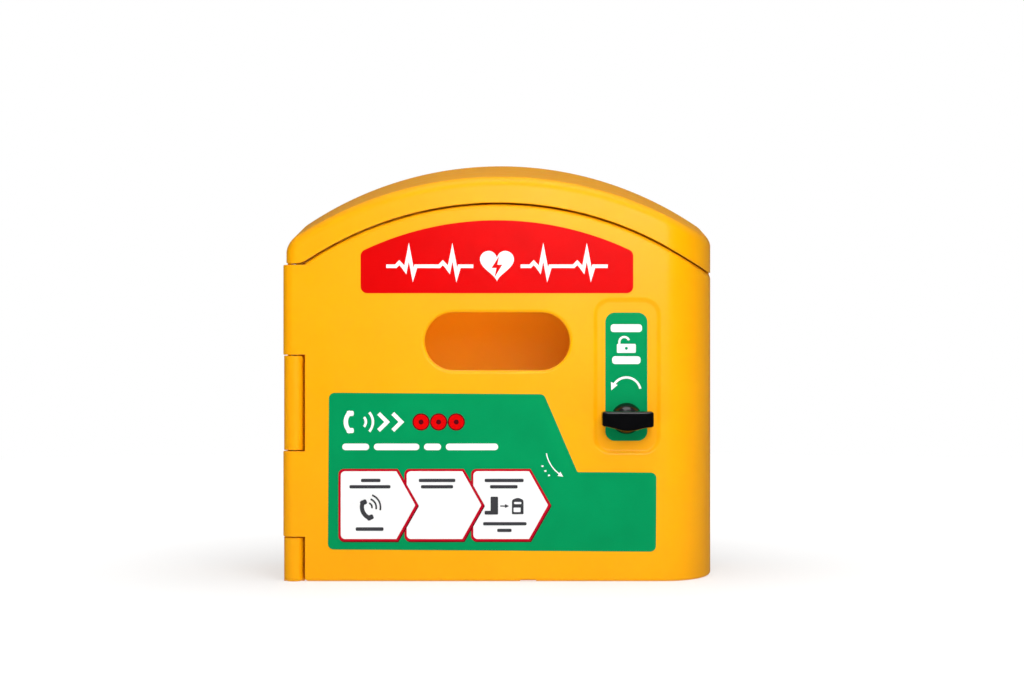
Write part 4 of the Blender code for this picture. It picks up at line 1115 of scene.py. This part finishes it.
def build_instruction_label():
    """Green stepped label: white and red marks above three linked cards, all without lettering."""
    centre = [sum(corner[axis] for corner in PANEL_CORNERS) / len(PANEL_CORNERS) for axis in (0, 1)]
    turn = Matrix.Rotation(PANEL_TILT, 2)
    outline = rounded([(*(Vector(centre) + turn @ (Vector(corner[:2]) - Vector(centre))), corner[2])
                       for corner in PANEL_CORNERS])
    white = handset(-0.1575, 0.1690, 0.0235, 0)
    white += waves(-0.1490, 0.1690, 0.0150, 0.0026, 0, 2)
    for x in (-0.124, -0.109):
        white.append(stroke([(x - 0.004, 0.1780), (x + 0.005, 0.1690), (x - 0.004, 0.1600)], 0.0042))
    for x_low, x_high in ((-0.1664, -0.1380), (-0.1330, -0.0850), (-0.0800, -0.0620), (-0.0570, -0.0018)):
        white.append(bar(x_low, x_high, 0.1392, 0.1462, 0.0034))
    white.append(band(0.0832, 0.1420, 0.0345, 0.0011, 190, 236))
    white.append(head(0.0640, 0.1132, 0.0036, -34))
    for index in range(3):
        white.append(turned_by(bar(0.0440, 0.0462, 0.1215, 0.1232, 0.0004), 0.0832, 0.1420, 8 * index))
    marks = ink_marks(white, WHITE_INK)
    for x in (-0.0832, -0.0646, -0.0460):
        marks += ink_marks([circle(x, 0.1690, 0.0092)], MAROON_INK, 0)
        marks += ink_marks([circle(x, 0.1690, 0.0079)], RED, 1)
        marks += ink_marks([circle(x, 0.1690, 0.0026)], MAROON_INK, 2)
    for order, left in enumerate((-0.0279, -0.0983, -0.1680)):
        card = (left, 0.0454, 0.1170, left + 0.0588, left + 0.0788)
        shade = [(x + 0.0008, z - 0.0010) for x, z in grown_card(*card, 0.0024)]
        marks += ink_marks([shade], MAROON_INK, 2 * order)
        marks += ink_marks([grown_card(*card, 0.0024)], CRIMSON_INK, 2 * order + 0.5)
        marks += ink_marks([panel_card(*card)], WHITE_INK, 2 * order + 1)
    marks += card_icons()
    label("instruction_print", outline, marks, -LABEL_THICK, GREEN, "door", "instruction_label")


def build_lock_label():
    """Green label in the lock's recess: bars, an open padlock and the arrow of the knob's turn."""
    x = (LOCK_LABEL[0] + LOCK_LABEL[1]) / 2
    white = [bar(x - 0.0165, x + 0.0165, 0.2640, 0.2722, 0.003)]
    white.append(bar(x - 0.0150, x + 0.0150, 0.2302, 0.2384, 0.003))
    shackle = band(x - 0.0022, 0.2536, 0.0052, 0.0022, 20, 180)
    white += [shackle, bar(x - 0.0085, x - 0.0063, 0.2500, 0.2540, 0.0003)]
    white.append(band(x, 0.2010, 0.0150, 0.0024, 12, 148))
    white.append(head(x - 0.0138, 0.2072, 0.0052, 246))
    marks = ink_marks(white, WHITE_INK)
    body = bar(x - 0.0100, x + 0.0100, 0.2420, 0.2515, 0.0012)
    marks.append((body, WHITE_INK, 0, [circle(x, 0.2468, 0.0016, 20)]))
    hole = [circle(LOCK_X, LOCK_Z, 0.0135, 64)]
    outline = rectangle(*LOCK_LABEL, 0.010, 10)
    label("lock_print", outline, marks, RECESS_DEPTH - LABEL_THICK, GREEN, "door", "lock_label", hole)


# ---- lock and hinge hardware


def build_knob():
    """A domed hub with a wing bar whose ends are squared off and softly rounded."""
    dome = [(HUB_R * sin(a), HUB_R * cos(a)) for a in (pi / 2 * step / 16 for step in range(14))]
    dome += [(HUB_R, 0.0030), (HUB_R, 0.0018), (HUB_R - 0.0006, 0.0012), (0, 0.0012)]
    knob = turned("wing_knob", dome, LOCK_PLACE, FRONTWARD, segments=96)
    front = -0.035
    back = -0.005
    form = bmesh.new()
    bmesh.ops.create_cube(form, size=1.0)
    bmesh.ops.scale(form, vec=(2 * WING_HALF, back - front, 2 * WING_LOW), verts=form.verts)
    round_edges(form, form.edges, 0.0034, 6)
    long_edges = [e for e in form.edges if abs(e.verts[0].co.x - e.verts[1].co.x) > WING_HALF]
    bmesh.ops.subdivide_edges(form, edges=long_edges, cuts=24)
    for vert in form.verts:
        reach = vert.co.x / WING_HALF
        swell = cos(pi / 2 * reach) ** 2
        low = WING_END + (WING_LOW - WING_END) * swell + max(reach, 0.0) ** 2 * 0.0012
        vert.co.z *= (low if vert.co.z < 0 else WING_HIGH) / WING_LOW
        vert.co.y *= 1.0 - 0.12 * abs(reach) ** 3
    bmesh.ops.translate(form, vec=(LOCK_X, FRONT + (front + back) / 2, LOCK_Z), verts=form.verts)
    join(knob, from_bmesh("wing", form))
    cut(knob, cylinder("knob_bore", SPINDLE_R + GAP, -0.002, 0.0093, LOCK_PLACE, FRONTWARD))
    piece(knob, BLACK, "knob", "turn_knob")


def build_lock():
    seat = -(RECESS_DEPTH - GAP)
    bore = SPINDLE_R + GAP
    housing = [(0.0119, 0.0008), (0.0125, 0.0003), (0.0125, seat), (HOUSING_R, seat),
               (HOUSING_R, -HOUSING_END + 0.0008), (HOUSING_R - 0.0008, -HOUSING_END), (bore, -HOUSING_END),
               (bore, 0.0008)]
    piece(turned("lock_barrel", housing, LOCK_PLACE, FRONTWARD, closed=True), ZINC, "door", "lock_housing")
    collar = HOUSING_END + GAP
    end = CAM_DEPTH + 0.010
    cam_back = -CAM_DEPTH - CAM_THICK
    spindle = [(0, 0.009), (SPINDLE_R - 0.0005, 0.009), (SPINDLE_R, 0.0085), (SPINDLE_R, -collar),
               (0.0065, -collar), (0.007, -collar - 0.0005), (0.007, -CAM_DEPTH + GAP),
               (SPINDLE_R, -CAM_DEPTH + GAP), (SPINDLE_R, cam_back), (0.003, cam_back),
               (0.003, -end + 0.0005), (0.0025, -end), (0, -end)]
    piece(turned("spindle_turning", spindle, LOCK_PLACE, FRONTWARD), ZINC, "knob", "lock_spindle")
    refined("latch_cam", STEEL, "knob", "cam_plate", 0.0004)
    for node, name, sides, bore, bore_sides, material, body in (
        ("lock_washer", "lock_washer_ring", 64, HOUSING_R, 48, STEEL, "door"),
        ("lock_nut", "lock_nut_hex", 6, HOUSING_R, 48, ZINC, "door"),
        ("cam_washer", "cam_washer_ring", 48, 0.003, 32, STEEL, "knob"),
        ("cam_nut", "cam_nut_hex", 6, 0.003, 32, ZINC, "knob"),
    ):
        low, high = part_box(node)
        outline = circle(LOCK_X, LOCK_Z, (high.x - low.x) / 2, sides)
        hole = circle(LOCK_X, LOCK_Z, bore + GAP, bore_sides)
        piece(flat(name, outline, *depths(node), [hole], bevel=0.0003), material, body, node)


def build_hinge():
    radius = 0.003
    chamfer = 0.0008
    tip = radius - chamfer
    pin = [(0, PIN_HIGH), (tip, PIN_HIGH), (radius, PIN_HIGH - chamfer), (radius, PIN_LOW + chamfer),
           (tip, PIN_LOW), (0, PIN_LOW)]
    piece(turned("pin_rod", pin, HINGE_AXIS), STEEL, "casing", "hinge_pin")
    top = PIN_LOW - 2 * GAP
    plug = [(0, top), (BUSH_R - chamfer, top), (BUSH_R - GAP, top - 0.0006), (BUSH_R - GAP, 0.0010),
            (BUSH_R - chamfer, 0.0006), (0, 0.0006)]
    piece(turned("pin_plug", plug, HINGE_AXIS), RUBBER, "casing", "hinge_pin_plug")
    for name, (start, _) in (("lower", LOWER_BARREL), ("upper", UPPER_BARREL)):
        low = start + GAP
        high = low + BUSH_LENGTH
        ring = [(BUSH_R, high), (BUSH_R, low), (BORE_R, low), (BORE_R, high)]
        piece(turned(f"bush_{name}", ring, HINGE_AXIS, closed=True), WHITE, "door", f"door_bush_{name}")


def screw_mesh():
    """A pan-head screw with a cross recess, pointing along +Z, whose head sits on Z = 0."""
    seat = GAP * 0.3
    profile = [(0, SCREW_HEAD)]
    for step in range(1, 9):
        angle = pi / 2 * step / 8
        profile.append((SCREW_HEAD_R * (0.55 + 0.45 * sin(angle)), SCREW_HEAD * (0.12 + 0.88 * cos(angle))))
    profile += [(SCREW_HEAD_R, seat), (SCREW_R, seat), (SCREW_R, 0.001 - SCREW_LENGTH), (0, -SCREW_LENGTH)]
    thing = turned("screw", profile, (0, -FRONT, 0), segments=40)
    slots = []
    low = (-0.0019, -FRONT - 0.00035, SCREW_HEAD - 0.0013)
    high = (0.0019, -FRONT + 0.00035, 0.01)
    for angle in (0, pi / 2):
        slot = box("slot", low, high)
        slot.rotation_euler = (0, 0, angle)
        slots.append(slot)
    cut(thing, *slots)
    mesh = thing.data
    bpy.data.objects.remove(thing)
    return mesh


def build_screws():
    """Screws turned to the place and length of each CAD screw."""
    mesh = screw_mesh()
    for kind, count, turn, body in (
        ("shelf_screw", 4, FRONTWARD, "casing"),
        ("heater_screw", 2, FRONTWARD, "casing"),
        ("control_screw", 2, FRONTWARD, "casing"),
        ("light_screw", 2, FRONTWARD, "casing"),
        ("striker_screw", 2, LEFTWARD, "casing"),
        ("window_screw", 6, REARWARD, "door"),
    ):
        for index in range(1, count + 1):
            low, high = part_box(f"{kind}_{index}")
            place = (low + high) / 2
            if turn == FRONTWARD:
                place.y = low.y + SCREW_HEAD
            elif turn == REARWARD:
                place.y = high.y - SCREW_HEAD
            else:
                place.x = low.x + SCREW_HEAD
            thing = add_object(f"{kind}_cross_{index}", mesh.copy())
            long = max(high - low)
            for vert in thing.data.vertices:
                if vert.co.z < -0.001:
                    vert.co.z += SCREW_LENGTH - (long - SCREW_HEAD)
            thing.location = place
            thing.rotation_euler = turn
            piece(baked(thing), STEEL, body, f"{kind}_{index}")


# ---- fittings inside


def smooth_route(points, steps):
    """Points along a Catmull-Rom curve through the given ones."""
    anchors = [Vector(point) for point in (points[0], *points, points[-1])]
    route = []
    for index in range(1, len(anchors) - 2):
        before, start, end, after = anchors[index - 1 : index + 3]
        square = 2 * before - 5 * start + 4 * end - after
        cube = 3 * start - before - 3 * end + after
        for step in range(steps):
            t = step / steps
            route.append(tuple((2 * start + (end - before) * t + square * t**2 + cube * t**3) / 2))
    route.append(tuple(anchors[-1]))
    return route


def lead(name, node, points):
    curve = bpy.data.curves.new(name, "CURVE")
    curve.dimensions = "3D"
    curve.bevel_depth = 0.0025
    curve.bevel_resolution = 5
    curve.use_fill_caps = True
    route = smooth_route(points, 6)
    spline = curve.splines.new("POLY")
    spline.points.add(len(route) - 1)
    for point, (x, depth, z) in zip(spline.points, route):
        point.co = (x, FRONT + depth, z, 1)
    piece(from_bmesh(name, solid_curve(name, curve)), RUBBER, "casing", node)


def build_leads():
    """Each lead leaves its fitting straight, along three points, and enters the next one alike."""
    depth = 0.180
    control_right = -0.125
    control_top = 0.106
    heater_side = -0.0573
    route = [(control_right + out, depth, 0.050) for out in (GAP, 0.008, 0.016)]
    route.append((control_right + 0.036, 0.177, 0.038))
    route += [(heater_side - out, 0.174, 0.034) for out in (0.016, 0.008, 0)]
    lead("heater_flex", "heater_lead", route)
    x = -0.205
    clipped = 0.1925
    light_left = -0.060
    light_low = 0.331
    run = [(x + 0.009, depth, control_top + out) for out in (GAP, 0.008, 0.016)]
    run += [(x, clipped, z) for z in (control_top + 0.045, 0.185, 0.275)]
    run += [(x + 0.003, clipped, 0.305), (x + 0.022, clipped - 0.002, light_low - 0.002),
            (light_left - 0.060, 0.188, light_low + 0.006)]
    run += [(light_left - out, 0.187, light_low + 0.0085) for out in (0.016, 0.008, GAP)]
    lead("light_flex", "light_lead", run)


def build_fittings():
    for node, name, material, bevel in (
        ("equipment_shelf", "shelf_tray", GREY, 0.0008),
        ("heater", "heater_extrusion", ALUMINIUM, 0.0004),
        ("control_box", "control_case", GREY, 0.0006),
        ("control_lid", "control_cover", WHITE, 0.0008),
        ("light_bar", "light_case", WHITE, 0.0006),
        ("light_diffuser", "light_cover", DIFFUSER, 0.0008),
        ("striker_bracket", "striker_strip", STEEL, 0.0004),
        ("lead_clip_1", "lead_holder_1", WHITE, 0.0004),
        ("lead_clip_2", "lead_holder_2", WHITE, 0.0004),
    ):
        refined(node, material, "casing", name, bevel)


# ---- studio


def area_light(name, place, aim, size, power, colour=(1, 1, 1)):
    data = bpy.data.lights.new(name, "AREA")
    data.shape = "RECTANGLE"
    data.size, data.size_y = size
    data.energy = power
    data.color = colour
    thing = add_object(name, data)
    thing.location = place
    thing.rotation_euler = (Vector(aim) - Vector(place)).to_track_quat("-Z", "Y").to_euler()


def build_surroundings():
    """A white room, open and dark towards the front so that the labels and the window don't mirror it."""
    world = bpy.data.worlds.new("studio")
    bpy.context.scene.world = world
    graph = Graph("", world)
    axes = graph.add("SeparateXYZ", {0: graph.coordinates["Generated"]}).outputs
    above = graph.span(axes["Z"], ROOM_DARK, ROOM_TOP, 0.15, 0.80, interpolation_type="SMOOTHSTEP")
    behind = graph.span(axes["Y"], ROOM_DARK, ROOM_BACK, -0.10, 0.60, interpolation_type="SMOOTHSTEP")
    seen = graph.add("LightPath").outputs["Is Camera Ray"]
    light = graph.combine("MAXIMUM", graph.combine("MAXIMUM", above, behind), seen)
    graph.feed(graph.nodes["Background"], {"Strength": light, "Color": (1, 1, 1, 1)})


def build_studio():
    form = bmesh.new()
    bmesh.ops.create_circle(form, cap_ends=True, segments=96, radius=2.6)
    floor = from_bmesh("studio_floor", form)
    floor.data.materials.append(FLOOR)
    floor.visible_glossy = False
    centre = (0, 0, 0.25)
    area_light("overhead", (0.15, -0.35, 2.3), centre, (1.6, 1.2), 22)
    area_light("key", (0.40, -2.1, 1.55), (0.05, 0, 0.25), (1.6, 1.2), 10)
    area_light("near_front", (0.16, -0.86, 0.52), (0.07, -0.08, 0.25), (0.45, 0.35), 4.8)
    area_light("left_fill", (-1.5, -2.2, 1.1), centre, (1.2, 1.6), 1.5)
    orange = (0.94, 0.47, 0.012)
    area_light("inside_glow", (-0.03, 0.01, 0.29), (-0.015, 0.12, 0.215), (0.24, 0.05), 0.175, orange)
    build_surroundings()
    lens = bpy.data.cameras.new("camera")
    lens.lens = 78.2
    lens.sensor_width = 36.0
    camera = add_object("camera", lens)
    camera.location = (0.0129, FRONT - 2.350, 0.254)
    camera.rotation_euler = (pi / 2, 0, 0)
    bpy.context.scene.camera = camera
    bpy.context.scene.view_settings.view_transform = "Standard"


for build in (build_studio, build_casing, build_seal, build_back_closures, build_door, build_window,
              build_title_label, build_instruction_label, build_lock_label, build_knob, build_lock,
              build_hinge, build_screws, build_leads, build_fittings):
    build()
